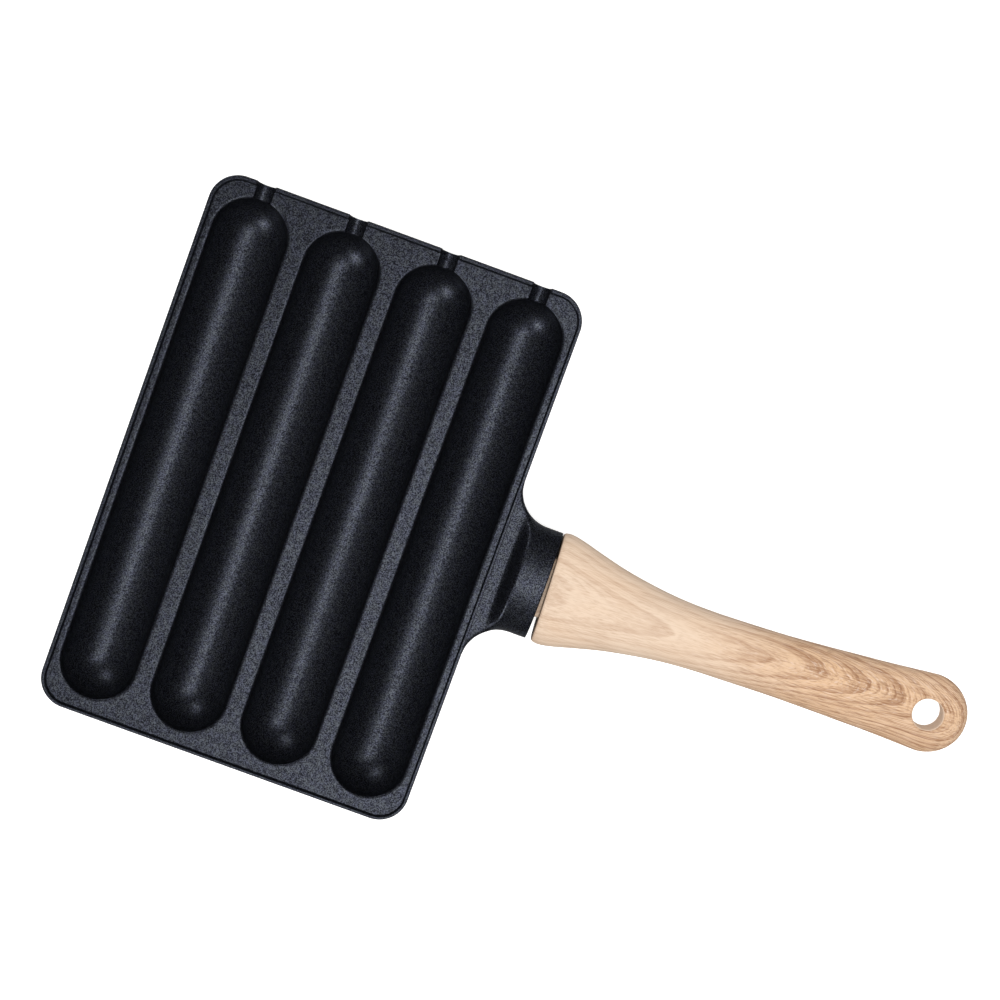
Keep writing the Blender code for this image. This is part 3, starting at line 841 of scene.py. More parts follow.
    def build(self) -> Material:
        """Builds the wood.

        Returns:
            The material.
        """
        material, board, shader = self.start()
        place = board.split(board.term("ShaderNodeMapping", {"vector_type": "TEXTURE"}, {
            "Vector": self.place(board), "Location": self.seat,
            "Rotation": (0.0, 0.0, math.radians(self.skew_degrees))}))
        rings, tail = self.rings(board, place), place[0].ease(*self.tail_range)
        layers = self.ring_streaks(board, place, rings, self.LAYER_GRAIN)
        strokes = self.ring_streaks(board, place, rings, self.STROKE_GRAIN)
        fibres = self.streaks(board, place, self.FIBRE_GRAIN)
        dashes = self.streaks(board, place, self.DASH_GRAIN)
        cloud = self.streaks(board, place, self.CLOUD_GRAIN)
        pores = dashes.ease(*self.pore_range).most(strokes.ease(*self.stroke_range) * tail)
        tone = (self.depth(tail, self.warm_depth) + cloud.swing(self.cloud_depth)).clamp()
        grain = (layers.swing(self.depth(tail, self.layer_depth))
                 + fibres.swing(self.depth(tail, self.fibre_depth)))
        bands = self.bands(board, place, rings) * self.depth(tail, self.ring_depth)
        dark = (self.base_dark + bands + grain).clamp()
        glints = (1.0 - strokes.ease(*self.glint_range)) * self.depth(tail, self.glint_depth)
        colour = board.mix(tone, self.pale, self.warm)
        colour = board.mix(dark, colour, self.late)
        colour = board.mix(glints, colour, self.light)
        colour = board.mix(pores * self.depth(tail, self.pore_depth), colour, self.pore)
        relief = layers + fibres * self.fibre_relief_share - pores * self.pore_relief_share
        board.feed(shader, {
            "Base Color": self.cut_faces(board, place, colour),
            "Roughness": self.roughness + dark * self.dark_roughness + pores * self.pore_roughness,
            "Normal": board.bump(*self.relief, relief), "Specular IOR Level": self.shine})
        return material


@dataclass(frozen=True)
class PlainMetal(Finish):
    """A plated or turned metal with a light grain."""

    base: Point3 = (0.55, 0.55, 0.56)
    dark_share: float = 0.8
    roughness: float = 0.3
    grain_roughness: float = 0.2
    grain_scale: float = 900.0
    grain_detail: float = 3.0

    def build(self) -> Material:
        """Builds the metal.

        Returns:
            The material.
        """
        material, board, shader = self.start()
        grain = board.noise(self.place(board), self.grain_scale, self.grain_detail)
        dark = tuple(part * self.dark_share for part in self.base)
        board.feed(shader, {
            "Base Color": board.mix(grain, dark, self.base),
            "Roughness": self.roughness + grain.swing(self.grain_roughness), "Metallic": 1.0})
        return material


@dataclass(frozen=True)
class StudioPaper(Finish):
    """The floor's plain matt paper, lit a little from behind so that shadows stay faint; a black copy that
    only glows stands in for the floor in the coating's gloss, as a painted reflection.
    """

    base: Point3 = (0.92, 0.92, 0.92)
    dark_share: float = 0.985
    fibre_scale: float = 400.0
    glow: float = 0.48

    def build(self) -> Material:
        """Builds the paper.

        Returns:
            The material.
        """
        material, board, shader = self.start()
        fibre = board.noise(self.place(board), self.fibre_scale)
        dark = tuple(part * self.dark_share for part in self.base)
        board.feed(shader, {
            "Base Color": board.mix(fibre, dark, self.base), "Roughness": 1.0,
            "Specular IOR Level": 0.0, "Emission Color": (1.0, 1.0, 1.0, 1.0),
            "Emission Strength": self.glow})
        material.cycles.emission_sampling = "NONE"
        return material


# The casting


class Sheet:
    """Points and guide lines on a plane that become one triangulated sheet."""

    def __init__(self) -> None:
        """Starts with nothing on the plane."""
        self.points: list[Point2] = []
        self.lines: list[tuple[int, int]] = []

    def add_line(self, points: Sequence[Point2], closed: bool = False) -> None:
        """Adds a line of points that the triangles must follow.

        Args:
            points: the line's points, in order.
            closed: joins the last point to the first.
        """
        first = len(self.points)
        self.points.extend(points)
        last = first + len(points) - 1
        self.lines.extend((this, this + 1) for this in range(first, last))
        if closed:
            self.lines.append((last, first))

    def build(self, name: str, border: int) -> tuple[Object, list[int]]:
        """Triangulates what lies inside the outer line.

        Args:
            name: the object's name.
            border: how many points the outer line has; it comes first.

        Returns:
            The flat sheet as an object, and where the outer line's points are in it.
        """
        scaled = [Vector((x, y)) * MILLIMETRES for x, y in self.points]
        made = geometry.delaunay_2d_cdt(scaled, self.lines, [], 1, SHEET_EPSILON)
        points = [(point.x / MILLIMETRES, point.y / MILLIMETRES, 0.0) for point in made[0]]
        spots = {origin: this for this, origins in enumerate(made[3]) for origin in origins}
        return mesh_from(name, points, made[2]), [spots[this] for this in range(border)]


@dataclass
class Casting:
    """The one-piece casting: tray, rim, troughs, notches, skirt, underside and neck.

    Sizes are in metres. A crease is how widely two surfaces melt into each other where they meet.
    """

    trough_count: int = 4
    pitch: float = 0.03875
    trough_radius: float = 0.0154
    lip_radius: float = 0.0007
    brim_reach: float = 0.0005
    brim_guard: float = 0.0003
    trough_length: float = 0.2136
    side_land: float = 0.0022
    end_land: float = 0.0044
    rim_height: float = 0.0020
    rim_top: float = 0.0013
    rim_run: float = 0.0006
    rim_edge: float = 0.0004
    rim_spread: float = 0.0002
    rim_shift: Point2 = (0.00015, -0.0002)
    rim_fall_lead: Point2 = (0.00008, 0.00001)
    corner: float = 0.0122
    belly_wall: float = 0.0032
    land_wall: float = 0.0034
    skirt_clearance: float = 0.0050
    skirt_draft_degrees: float = 7.0
    skirt_edge: float = 0.0005
    skirt_wall: float = 0.0024
    skirt_inside_run: float = 0.0005
    rail_width: float = 0.0120
    rail_height: float = 0.0009
    rail_reach: float = 0.0020
    rail_slope: float = 3.0
    rib_spacing: float = 0.0620
    rib_width: float = 0.0030
    rib_slope: float = 8.0
    belly_crease: float = 0.003
    boss_crease: float = 0.002
    skirt_crease: float = 0.0016
    foot_crease: float = 0.0014

    notch_radius: float = 0.0036
    notch_wall: float = 0.0028
    notch_turn_share: float = 0.98
    notch_turn_depth_share: float = 0.199
    notch_flank_slope: float = 6.0
    notch_mouth_share: float = 0.6
    notch_crease: float = 0.0010
    mouth_crease: float = 0.0026
    mouth_range: Point2 = (0.0008, 0.0026)
    notch_lean_run: float = 0.0022
    notch_lean_share: float = 1.35
    notch_start_share: float = 0.84
    notch_clear: float = 0.0008

    neck_length: float = 0.0219
    neck_width: float = 0.0452
    neck_fillet: float = 0.0150
    neck_root: Point2 = (0.001, 0.2)
    parting_drop: float = 0.0040
    neck_crown: float = 0.0120
    neck_keel: float = 0.0100
    flange_drop: float = 0.00015
    flange_power: float = 12.0
    socket_start: float = 0.0041
    socket_run: float = 0.0065
    neck_end_edge: float = 0.0004

    bowl_steps: int = 20
    brim_steps: int = 9
    arc_steps: int = 52
    least_arc_steps: int = 6
    stations: int = 38
    end_spacing: float = 0.0025
    beyond_steps: int = 3
    corner_steps: int = 22
    notch_steps: int = 26
    rail_steps: int = 8
    rib_steps: int = 40
    wall_steps: int = 8
    neck_steps: int = 56
    neck_edge_steps: int = 4
    neck_around: int = 128

    # Where the sheets have lines, in millimetres inside the rim's or the skirt's outer edge.
    RIM_LINES = (0.0, 0.03, 0.1, 0.2, 0.32, 0.42, 0.95, 1.02, 1.1, 1.17, 1.24, 1.31, 1.38, 1.45, 1.52,
                 1.59, 1.66, 1.73, 1.8, 1.86, 1.92, 1.99, 2.06, 2.14, 2.22, 2.3, 2.38, 2.5)
    NOTCH_END_LINES = (2.5, 2.14, 1.1, 0.42, 0.0)
    SKIRT_LINES = (0.0, 0.05, 0.15, 0.3, 0.5, 1.2, 1.9, 2.35, 2.42, 2.5, 2.6, 2.75, 3.0, 3.5)
    # And in metres from the middle of a notch, a rail and a rib.
    NOTCH_LINES = (0.0, 0.0007, 0.0013, 0.0018, 0.0022, 0.0026, 0.0029, 0.00315, 0.00335, 0.00346,
                   0.00354, 0.0036, 0.00366, 0.00372, 0.0038, 0.00388, 0.00396, 0.00404, 0.00413,
                   0.0043, 0.0046)
    RAIL_LINES = (0.0060, 0.00605, 0.0063, 0.0066)
    RIB_LINES = (0.0015, 0.00155, 0.0020, 0.0026, 0.0032, 0.0036)
    # The belly's rings go up its round by degrees, as long as they stay a margin inside the skirt.
    BELLY_DEGREES = range(6, 79, 6)
    BELLY_MARGIN = 0.003

    def __post_init__(self) -> None:
        """Works out the places that follow from the sizes."""
        self.opening = self.trough_radius + self.lip_radius
        self.brim_width = self.lip_radius + self.brim_reach
        self.half_run = self.trough_length / 2 - self.opening
        self.outer = self.pitch * (self.trough_count - 1) / 2
        self.land_z = self.rail_height + self.belly_wall + self.opening
        self.rim_z = self.land_z + self.rim_height
        self.half_width = self.outer + self.opening + self.side_land + self.rim_run + self.rim_top
        self.half_length = self.trough_length / 2 + self.end_land + self.rim_run + self.rim_top
        self.draft = math.tan(math.radians(self.skirt_draft_degrees))
        skirt_low_z = self.skirt_clearance + self.skirt_edge
        self.skirt_inset = (self.rim_z - self.rim_edge - skirt_low_z) * self.draft
        self.neck_end_x = self.half_width + self.neck_length
        self.parting_z = self.rim_z - self.parting_drop
        self.centres = [self.pitch * index - self.outer for index in range(self.trough_count)]
        self.run_places = [self.half_run * (2.0 * step / self.stations - 1.0)
                           for step in range(self.stations + 1)]

    def end_stations(self) -> list[float]:
        """Lists the places across an end.

        Returns:
            The places, with the notches' own places among them.
        """
        straight = self.half_width - self.corner
        clear = self.NOTCH_LINES[-1] + self.notch_clear
        steps = int(2 * straight / self.end_spacing)
        places = [-straight + 2 * straight * step / steps for step in range(steps + 1)]
        spots = [place for place in places if all(abs(place - centre) > clear for centre in self.centres)]
        for centre in self.centres:
            for away in self.NOTCH_LINES:
                spots += [centre - away, centre + away]
        return sorted({round(spot, SHEET_DIGITS) for spot in [*spots, -straight, straight]})

    def side_stations(self) -> list[float]:
        """Lists the places along a side.

        Returns:
            The places.
        """
        left = self.half_length - self.corner - self.half_run
        beyond = [self.half_run + left * step / self.beyond_steps
                  for step in range(1, self.beyond_steps + 1)]
        return sorted([-place for place in beyond] + self.run_places + beyond)

    def contour(self, inset: float) -> list[Point2]:
        """Outlines the tray at a distance inside the rim's outer edge.

        Args:
            inset: the distance.

        Returns:
            The points, from the start of the +X side.
        """
        wide, long = self.half_width - self.corner, self.half_length - self.corner
        radius = self.corner - inset
        across, along = self.end_stations(), self.side_stations()
        sides = ([(wide + radius, place) for place in along],
                 [(place, long + radius) for place in reversed(across)],
                 [(-wide - radius, place) for place in reversed(along)],
                 [(place, -long - radius) for place in across])
        corners = ((wide, long), (-wide, long), (-wide, -long), (wide, -long))
        points = []
        for quarter, (side, corner) in enumerate(zip(sides, corners)):
            points += side + quarter_arc(corner, radius, quarter, self.corner_steps)[1:-1]
        return points

    def stadium(self, centre: float, radius: float, full_radius: float) -> list[Point2]:
        """Outlines a trough at a distance from its centre line.

        Args:
            centre: where the trough's centre line is.
            radius: the distance.
            full_radius: the radius that has the full count of steps round an end.

        Returns:
            The points.
        """
        steps = max(self.least_arc_steps, round(self.arc_steps * radius / full_radius))
        points = []
        for turned, side in enumerate((1, -1)):
            points += [(centre + side * radius, side * place) for place in self.run_places]
            for step in range(1, steps):
                angle = math.pi * (turned + step / steps)
                points.append((centre + radius * math.cos(angle),
                               side * self.half_run + radius * math.sin(angle)))
        return points

    def middle_line(self, centre: float) -> list[Point2]:
        """Lists the points along a trough's lowest line."""
        return [(centre, place) for place in self.run_places]

    def top_sheet(self) -> tuple[Object, list[int]]:
        """Lays out the top: rim lines, trough rings and the grid at each notch.

        Returns:
            The flat sheet, and where its border's points are in it.
        """
        sheet = Sheet()
        for inset in self.RIM_LINES:
            sheet.add_line(self.contour(inset / MILLIMETRES), closed=True)
        radii = [self.trough_radius * math.sin(angle) for angle in quarter_turn(self.bowl_steps)[1:]]
        radii += [self.trough_radius + self.brim_width * (1.0 - math.cos(angle))
                  for angle in quarter_turn(self.brim_steps)[1:]]
        radii.append(self.opening + self.brim_reach + self.brim_guard)
        for centre in self.centres:
            sheet.add_line(self.middle_line(centre))
            for radius in radii:
                sheet.add_line(self.stadium(centre, radius, self.opening), closed=True)
            self.add_notch_grid(sheet, centre)
        return sheet.build("top_sheet", len(self.contour(0.0)))

    def add_notch_grid(self, sheet: Sheet, centre: float) -> None:
        """Adds the fine lines that a notch needs.

        Args:
            sheet: the top's sheet.
            centre: where the trough's centre line is.
        """
        start = self.half_run + self.trough_radius * self.notch_start_share
        stop = self.half_length - self.RIM_LINES[-1] / MILLIMETRES
        places = [start + (stop - start) * step / self.notch_steps for step in range(self.notch_steps)]
        places += [self.half_length - inset / MILLIMETRES for inset in self.NOTCH_END_LINES]
        for away in self.NOTCH_LINES:
            for side in (-1, 1) if away else (1,):
                x = round(centre + side * away, SHEET_DIGITS)
                sheet.add_line([(x, place) for place in places])

    def under_sheet(self) -> tuple[Object, list[int]]:
        """Lays out the underside: the skirt's lines, belly rings, rail lines and rib lines.

        Returns:
            The flat sheet, and where its border's points are in it.
        """
        sheet = Sheet()
        for extra in self.SKIRT_LINES:
            sheet.add_line(self.contour(self.skirt_inset + extra / MILLIMETRES), closed=True)
        belly = self.trough_radius + self.belly_wall
        limit = self.half_width - self.skirt_inset - self.BELLY_MARGIN
        reach = self.half_run + self.rail_reach
        rail_places = [place * reach / self.rail_steps
                       for place in range(-self.rail_steps, self.rail_steps + 1)]
        for centre in self.centres:
            sheet.add_line(self.middle_line(centre))
            for degrees in self.BELLY_DEGREES:
                radius = belly * math.sin(math.radians(degrees))
                if centre + radius < limit:
                    sheet.add_line(self.stadium(centre, radius, belly), closed=True)
            for away in self.RAIL_LINES:
                for side in (-1, 1):
                    sheet.add_line([(centre + side * away, place) for place in rail_places])
        rib_places = [self.outer * place / self.rib_steps
                      for place in range(-self.rib_steps, self.rib_steps + 1)]
        for index in (-1, 0, 1):
            for away in self.RIB_LINES:
                for side in (-1, 1):
                    y = index * self.rib_spacing + side * away
                    sheet.add_line([(place, y) for place in rib_places])
        return sheet.build("under_sheet", len(self.contour(0.0)))

    def base_sizes(self) -> dict[str, float]:
        """Lists the sizes that both trees take, by the names of their inputs."""
        return {"Trough Pitch": self.pitch, "Outer Trough": self.outer,
                "Last Trough": self.trough_count - 1.0, "Half Run": self.half_run,
                "Corner Radius": self.corner, "Half Width": self.half_width,
                "Half Length": self.half_length, "Notch Radius": self.notch_radius}

    def shared_fields(self, rule: GeometryRule) -> tuple[Term, Term, Term, Term, Term]:
        """Adds the fields that the top and the underside share.

        Args:
            rule: the tree, which has the casting's sizes as inputs.

        Returns:
            Each point's place across and along the tray, and its distances across the trough, from
            the trough's line and inside the rim's outer edge.
        """
        x, y, _ = rule.position()
        pitch, outer = rule.size("Trough Pitch"), rule.size("Outer Trough")
        index = ((x + outer) / pitch).nearest()
        across = abs(x + outer - index.clamp(0.0, rule.size("Last Trough")) * pitch)
        beyond = (abs(y) - rule.size("Half Run")).most(0.0)
        from_line = (across * across + beyond * beyond).root()
        return x, y, across, from_line, self.edge_inset(rule, x, y)

    @staticmethod
    def edge_inset(rule: GeometryRule, x: Term, y: Term) -> Term:
        """Measures how far a place lies inside the rim's outer edge.

        Args:
            rule: the tree, which has the casting's sizes as inputs.
            x: the place across the tray.
            y: the place along it.

        Returns:
            The distance.
        """
        corner = rule.size("Corner Radius")
        side = abs(x) - (rule.size("Half Width") - corner)
        end = abs(y) - (rule.size("Half Length") - corner)
        over_side, over_end = side.most(0.0), end.most(0.0)
        from_corner = (over_side * over_side + over_end * over_end).root()
        return corner - side.most(end).least(0.0) - from_corner

    def rim_share(self, rule: GeometryRule, x: Term, y: Term) -> Term:
        """Gives how much of the rim stands at a place; its inner wall is a little off centre.

        Args:
            rule: the top's tree.
            x: the place across the tray.
            y: the place along it.

        Returns:
            1 on the rim's top and 0 inside its inner wall.
        """
        inner = self.edge_inset(rule, x - rule.size("Rim Shift X"), y - rule.size("Rim Shift Y"))
        corner_start = rule.size("Half Length") - rule.size("Corner Radius")
        spread = rule.size("Rim Spread") * y.ease(corner_start, rule.size("Half Length"))
        top, (before, after) = rule.size("Rim Top"), self.rim_fall_lead
        return 1.0 - inner.ease(top - before, top + rule.size("Rim Run") + after + spread)

    def notch_groove(self, rule: GeometryRule, across: Term, y: Term) -> Term:
        """Shapes the half-round groove in which a stick lies.

        Args:
            rule: the top's tree.
            across: the distance from the trough's middle.
            y: the place along the tray.

        Returns:
            The groove's height over the land, which is far up where there is no groove.
        """
        notch = rule.size("Notch Radius")
        turn = notch * self.notch_turn_share
        steep = (across - turn) * self.notch_flank_slope - notch * self.notch_turn_depth_share
        groove = (across < turn).blend(steep, -(notch * notch - across * across).root())
        return groove + (y < rule.size("Half Run")) * FAR

    def top_rule(self, material: Material) -> GeometryRule:
        """Writes the tree that presses the troughs, the rim and the notches into the flat sheet.

        Args:
            material: the coating.

        Returns:
            The tree.
        """
        rule = GeometryRule("press_top", {
            **self.base_sizes(), "Trough Radius": self.trough_radius,
            "Lip Radius": self.lip_radius, "Brim Width": self.brim_width,
            "Land Height": self.land_z, "Rim Height": self.rim_height, "Rim Edge": self.rim_edge,
            "Rim Top": self.rim_top, "Rim Run": self.rim_run, "Rim Spread": self.rim_spread,
            "Rim Shift X": self.rim_shift[0], "Rim Shift Y": self.rim_shift[1], "Draft": self.draft})
        x, y, across, away, inset = self.shared_fields(rule)
        radius, lip = rule.size("Trough Radius"), rule.size("Lip Radius")
        bowl = -lip - (radius * radius - away * away).root()
        roll = (1.0 - (away - radius) / rule.size("Brim Width")).most(0.0)
        brim = ((1.0 - roll * roll).root() - 1.0) * lip
        trough = (away < radius).blend(brim, bowl)
        height, edge = rule.size("Rim Height"), rule.size("Rim Edge")
        left = (edge - inset).most(0.0)
        crest = height - edge + (edge * edge - left * left).root()
        surface = trough + crest * self.rim_share(rule, x, y)
        notch, trough_end = rule.size("Notch Radius"), rule.size("Half Run") + radius
        mouth = ((notch - across) / (notch * self.notch_mouth_share)).clamp()
        mouth_start, mouth_stop = (trough_end + place for place in self.mouth_range)
        crease = self.notch_crease + self.mouth_crease * mouth * (1.0 - y.ease(mouth_start, mouth_stop))
        cut = surface.melt(self.notch_groove(rule, across, y), crease)
        drop = (height - edge - cut).most(0.0) * rule.size("Draft")
        near_notch = (across < notch * self.notch_lean_share) * (y > rule.size("Half Run"))
        lean = drop * ((1.0 - inset / self.notch_lean_run).clamp() * near_notch)
        rule.press((x, y - lean, cut + rule.size("Land Height")), material)
        return rule

    def under_rule(self, material: Material) -> GeometryRule:
        """Writes the tree that shapes the bellies, rails, ribs, bosses and skirt underneath.

        Args:
            material: the coating.

        Returns:
            The tree.
        """
        rule = GeometryRule("press_under", {
            **self.base_sizes(), "Belly Radius": self.trough_radius + self.belly_wall,
            "Bowl Centre": self.land_z - self.lip_radius, "Ceiling": self.land_z - self.land_wall,
            "Skirt Clearance": self.skirt_clearance, "Skirt Inset": self.skirt_inset,
            "Skirt Edge": self.skirt_edge, "Skirt Wall": self.skirt_wall,
            "Skirt Run": self.skirt_inside_run, "Rail Half Width": self.rail_width / 2,
            "Rail Reach": self.rail_reach, "Rib Spacing": self.rib_spacing,
            "Rib Half Width": self.rib_width / 2,
            "Boss Radius": self.notch_radius + self.notch_wall})
        x, y, across, away, inset = self.shared_fields(rule)
        half_run, ceiling = rule.size("Half Run"), rule.size("Ceiling")
        belly, boss_radius = rule.size("Belly Radius"), rule.size("Boss Radius")
        hull = rule.size("Bowl Centre") - (belly * belly - away * away).root()
        boss = ceiling - (boss_radius * boss_radius - across * across).root() + (y < half_run) * FAR
        edge, clearance = rule.size("Skirt Edge"), rule.size("Skirt Clearance")
        into = inset - rule.size("Skirt Inset")
        left = (edge - into).most(0.0)
        foot = clearance + edge - (edge * edge - left * left).root()
        wall = (into - rule.size("Skirt Wall")).most(0.0) * (ceiling - clearance) / rule.size("Skirt Run")
        shell = ceiling.melt(hull, self.belly_crease).melt(boss, self.boss_crease)
        shell = shell.melt(foot + wall, self.skirt_crease)
        rail_end = abs(y) - half_run - rule.size("Rail Reach")
        rail = (across - rule.size("Rail Half Width")).most(rail_end).most(0.0) * self.rail_slope
        rib_index = (y / rule.size("Rib Spacing")).nearest().clamp(-1.0, 1.0)
        from_rib = abs(y - rib_index * rule.size("Rib Spacing")) - rule.size("Rib Half Width")
        rib = from_rib.most(abs(x) - rule.size("Outer Trough")).most(0.0) * self.rib_slope
        low = shell.melt(rail.least(rib), self.foot_crease).most(0.0)
        rule.press((x, y, low), material)
        return rule

    def tray(self, material: Material) -> Object:
        """Builds the tray from its two pressed sheets and the drafted wall between their edges.

        Args:
            material: the coating.

        Returns:
            The tray.
        """
        shape = bmesh.new()
        rims: list[list[Vector]] = []
        for rule, (flat, border) in ((self.top_rule(material), self.top_sheet()),
                                     (self.under_rule(material), self.under_sheet())):
            pressed = rule.bake(flat)
            rims.append([pressed.vertices[this].co.copy() for this in border])
            shape.from_mesh(pressed)
        rings = [[high.lerp(low, step / self.wall_steps) for high, low in zip(*rims)]
                 for step in range(self.wall_steps + 1)]
        wall = mesh_from("wall", [point for ring in rings for point in ring],
                         ring_faces(len(rings), len(rings[0])))
        shape.from_mesh(wall.data)
        bpy.data.objects.remove(wall, do_unlink=True)
        bmesh.ops.remove_doubles(shape, verts=shape.verts, dist=WELD)
        bmesh.ops.recalc_face_normals(shape, faces=shape.faces)
        mesh = bpy.data.meshes.new("tray")
        shape.to_mesh(mesh)
        shape.free()
        LOG.info("tray: %d open edges", open_edges(mesh))
        return place_mesh("pan_casting", mesh)

    def neck_half(self, x: float) -> float:
        """Measures the neck's half width, with its fillets into the tray's side.

        Args:
            x: the place along the neck.

        Returns:
            The half width.
        """
        inward = min(max(x - self.half_width, 0.0), self.neck_fillet)
        bend = math.sqrt(self.neck_fillet ** 2 - (self.neck_fillet - inward) ** 2)
        return self.neck_width / 2 + self.neck_fillet - bend

    def neck_ring(self, x: float, shrink: float = 0.0, lean: float = 0.0) -> list[Point3]:
        """Outlines the neck's section.

        Args:
            x: where the section is.
            shrink: how far its outline is drawn in, at the rounded end.
            lean: how much further in the section starts for each unit that it goes down.

        Returns:
            The section's points.
        """
        half = self.neck_half(x) - shrink
        grown = smoother_share((x - self.half_width - self.socket_start) / self.socket_run)
        power = self.flange_power
        points = []
        for step in range(self.neck_around):
            angle = math.tau * step / self.neck_around
            across = math.cos(angle)
            arch = math.sqrt(max(1.0 - across * across, 0.0))
            height = -(self.neck_keel - shrink) * arch
            if math.sin(angle) >= 0.0:
                level = max(1.0 - abs(across) ** power, 0.0) ** (1.0 / power)
                flat = (self.parting_drop - self.flange_drop) * level
                height = (1.0 - grown) * flat + grown * (self.neck_crown - shrink) * arch
            z = self.parting_z + height
            points.append((x - lean * (self.rim_z - z), half * across, z))
        return points

    def neck(self) -> Object:
        """Builds the neck from inside the rim to its rounded end.

        Returns:
            The neck.
        """
        root, lean = self.neck_root
        edge, stop = self.neck_end_edge, self.neck_end_x - self.neck_end_edge
        rings = [self.neck_ring(self.half_width - root, lean=lean)]
        for step in range(self.neck_steps + 1):
            share = step / self.neck_steps
            rings.append(self.neck_ring(self.half_width + (stop - self.half_width) * share))
        for angle in quarter_turn(self.neck_edge_steps)[1:]:
            rings.append(self.neck_ring(stop + edge * math.sin(angle), edge * (1.0 - math.cos(angle))))
        return skin_rings("neck", rings)

    def build(self, hold: HandleJoint, material: Material) -> Object:
        """Builds the whole casting.

        Args:
            hold: the joint between the neck and the handle.
            material: the coating.

        Returns:
            The finished piece.
        """
        made = self.tray(material)
        combine(made, self.neck(), Cut.JOIN)
        combine(made, hold.pocket(self), Cut.REMOVE)
        combine(made, hold.screw_hole(self), Cut.REMOVE)
        tidy_mesh(made.data)
        finish_piece(made, ["pan_body"], material)
        return made


# The handle


@dataclass
class HandleJoint:
    """The tenon, the pocket that takes it and the screw's place."""

    skew_degrees: float = 2.45
    tenon_width: float = 0.0250
    tenon_drop: float = 0.0060
    tenon_rise: float = 0.0065
    tenon_length: float = 0.0123
    tenon_corner: float = 0.0015
    gap: float = 0.0003
    screw_setback: float = 0.0065
    screw_radius: float = 0.0020
    bush_wall: float = 0.0012
    bush_length: float = 0.0085
    washer_radius: float = 0.0050
    spot_face: float = 0.0010
    overrun: float = 0.0040
    corner_steps: int = 6
    hole_steps: int = 48

    def __post_init__(self) -> None:
        """Works out the skew."""
        self.skew = math.radians(self.skew_degrees)

    def section(self, clearance: float = 0.0, slack: float = 0.0) -> list[Point2]:
        """Outlines the tenon, or its pocket.

        Args:
            clearance: how far the outline is let out all round.
            slack: how far it is let out at its sides.

        Returns:
            The points, across and up.
        """
        radius = self.tenon_corner + clearance
        wide = self.tenon_width / 2 + slack + clearance - radius
        tall = (self.tenon_rise + self.tenon_drop) / 2 + clearance - radius
        middle = (self.tenon_rise - self.tenon_drop) / 2
        points = []
        for quarter, (across, up) in enumerate(((1, 1), (-1, 1), (-1, -1), (1, -1))):
            points += quarter_arc((across * wide, middle + up * tall), radius, quarter, self.corner_steps)
        return points

    def pocket(self, casting: Casting) -> Object:
        """Makes the pocket's cutter.

        Args:
            casting: the casting that it cuts.

        Returns:
            The cutter.
        """
        depth = self.tenon_length + self.tenon_width / 2 * math.sin(self.skew) + self.gap
        outline = self.section(self.gap, self.tenon_length * math.sin(self.skew))
        ends = (casting.neck_end_x - depth, casting.neck_end_x + self.overrun)
        return skin_rings("pocket", [[(x, y, casting.parting_z + z) for y, z in outline] for x in ends])

    def screw_hole(self, casting: Casting) -> Object:
        """Makes the cutter for the screw's hole and its flat seat.

        Args:
            casting: the casting that it cuts.

        Returns:
            The cutter.
        """
        shift = self.screw_setback * math.sin(self.skew)
        seat = casting.parting_z - casting.neck_keel + self.spot_face
        wide, narrow = self.washer_radius + shift + self.gap, self.screw_radius + shift + self.gap
        profile = [(wide, seat - self.spot_face - self.overrun), (wide, seat), (narrow, seat),
                   (narrow, casting.parting_z)]
        made = skin_rings("screw_hole", turn_profile(profile, self.hole_steps))
        made.data.transform(Matrix.Translation((casting.neck_end_x - self.screw_setback, 0.0, 0.0)))
        return made

    def seat(self, casting: Casting) -> Matrix:
        """Gives the handle's place at the neck's end, turned by the skew."""
        end = Matrix.Translation((casting.neck_end_x, 0.0, casting.parting_z))
        return end @ Matrix.Rotation(self.skew, 4, "Z")


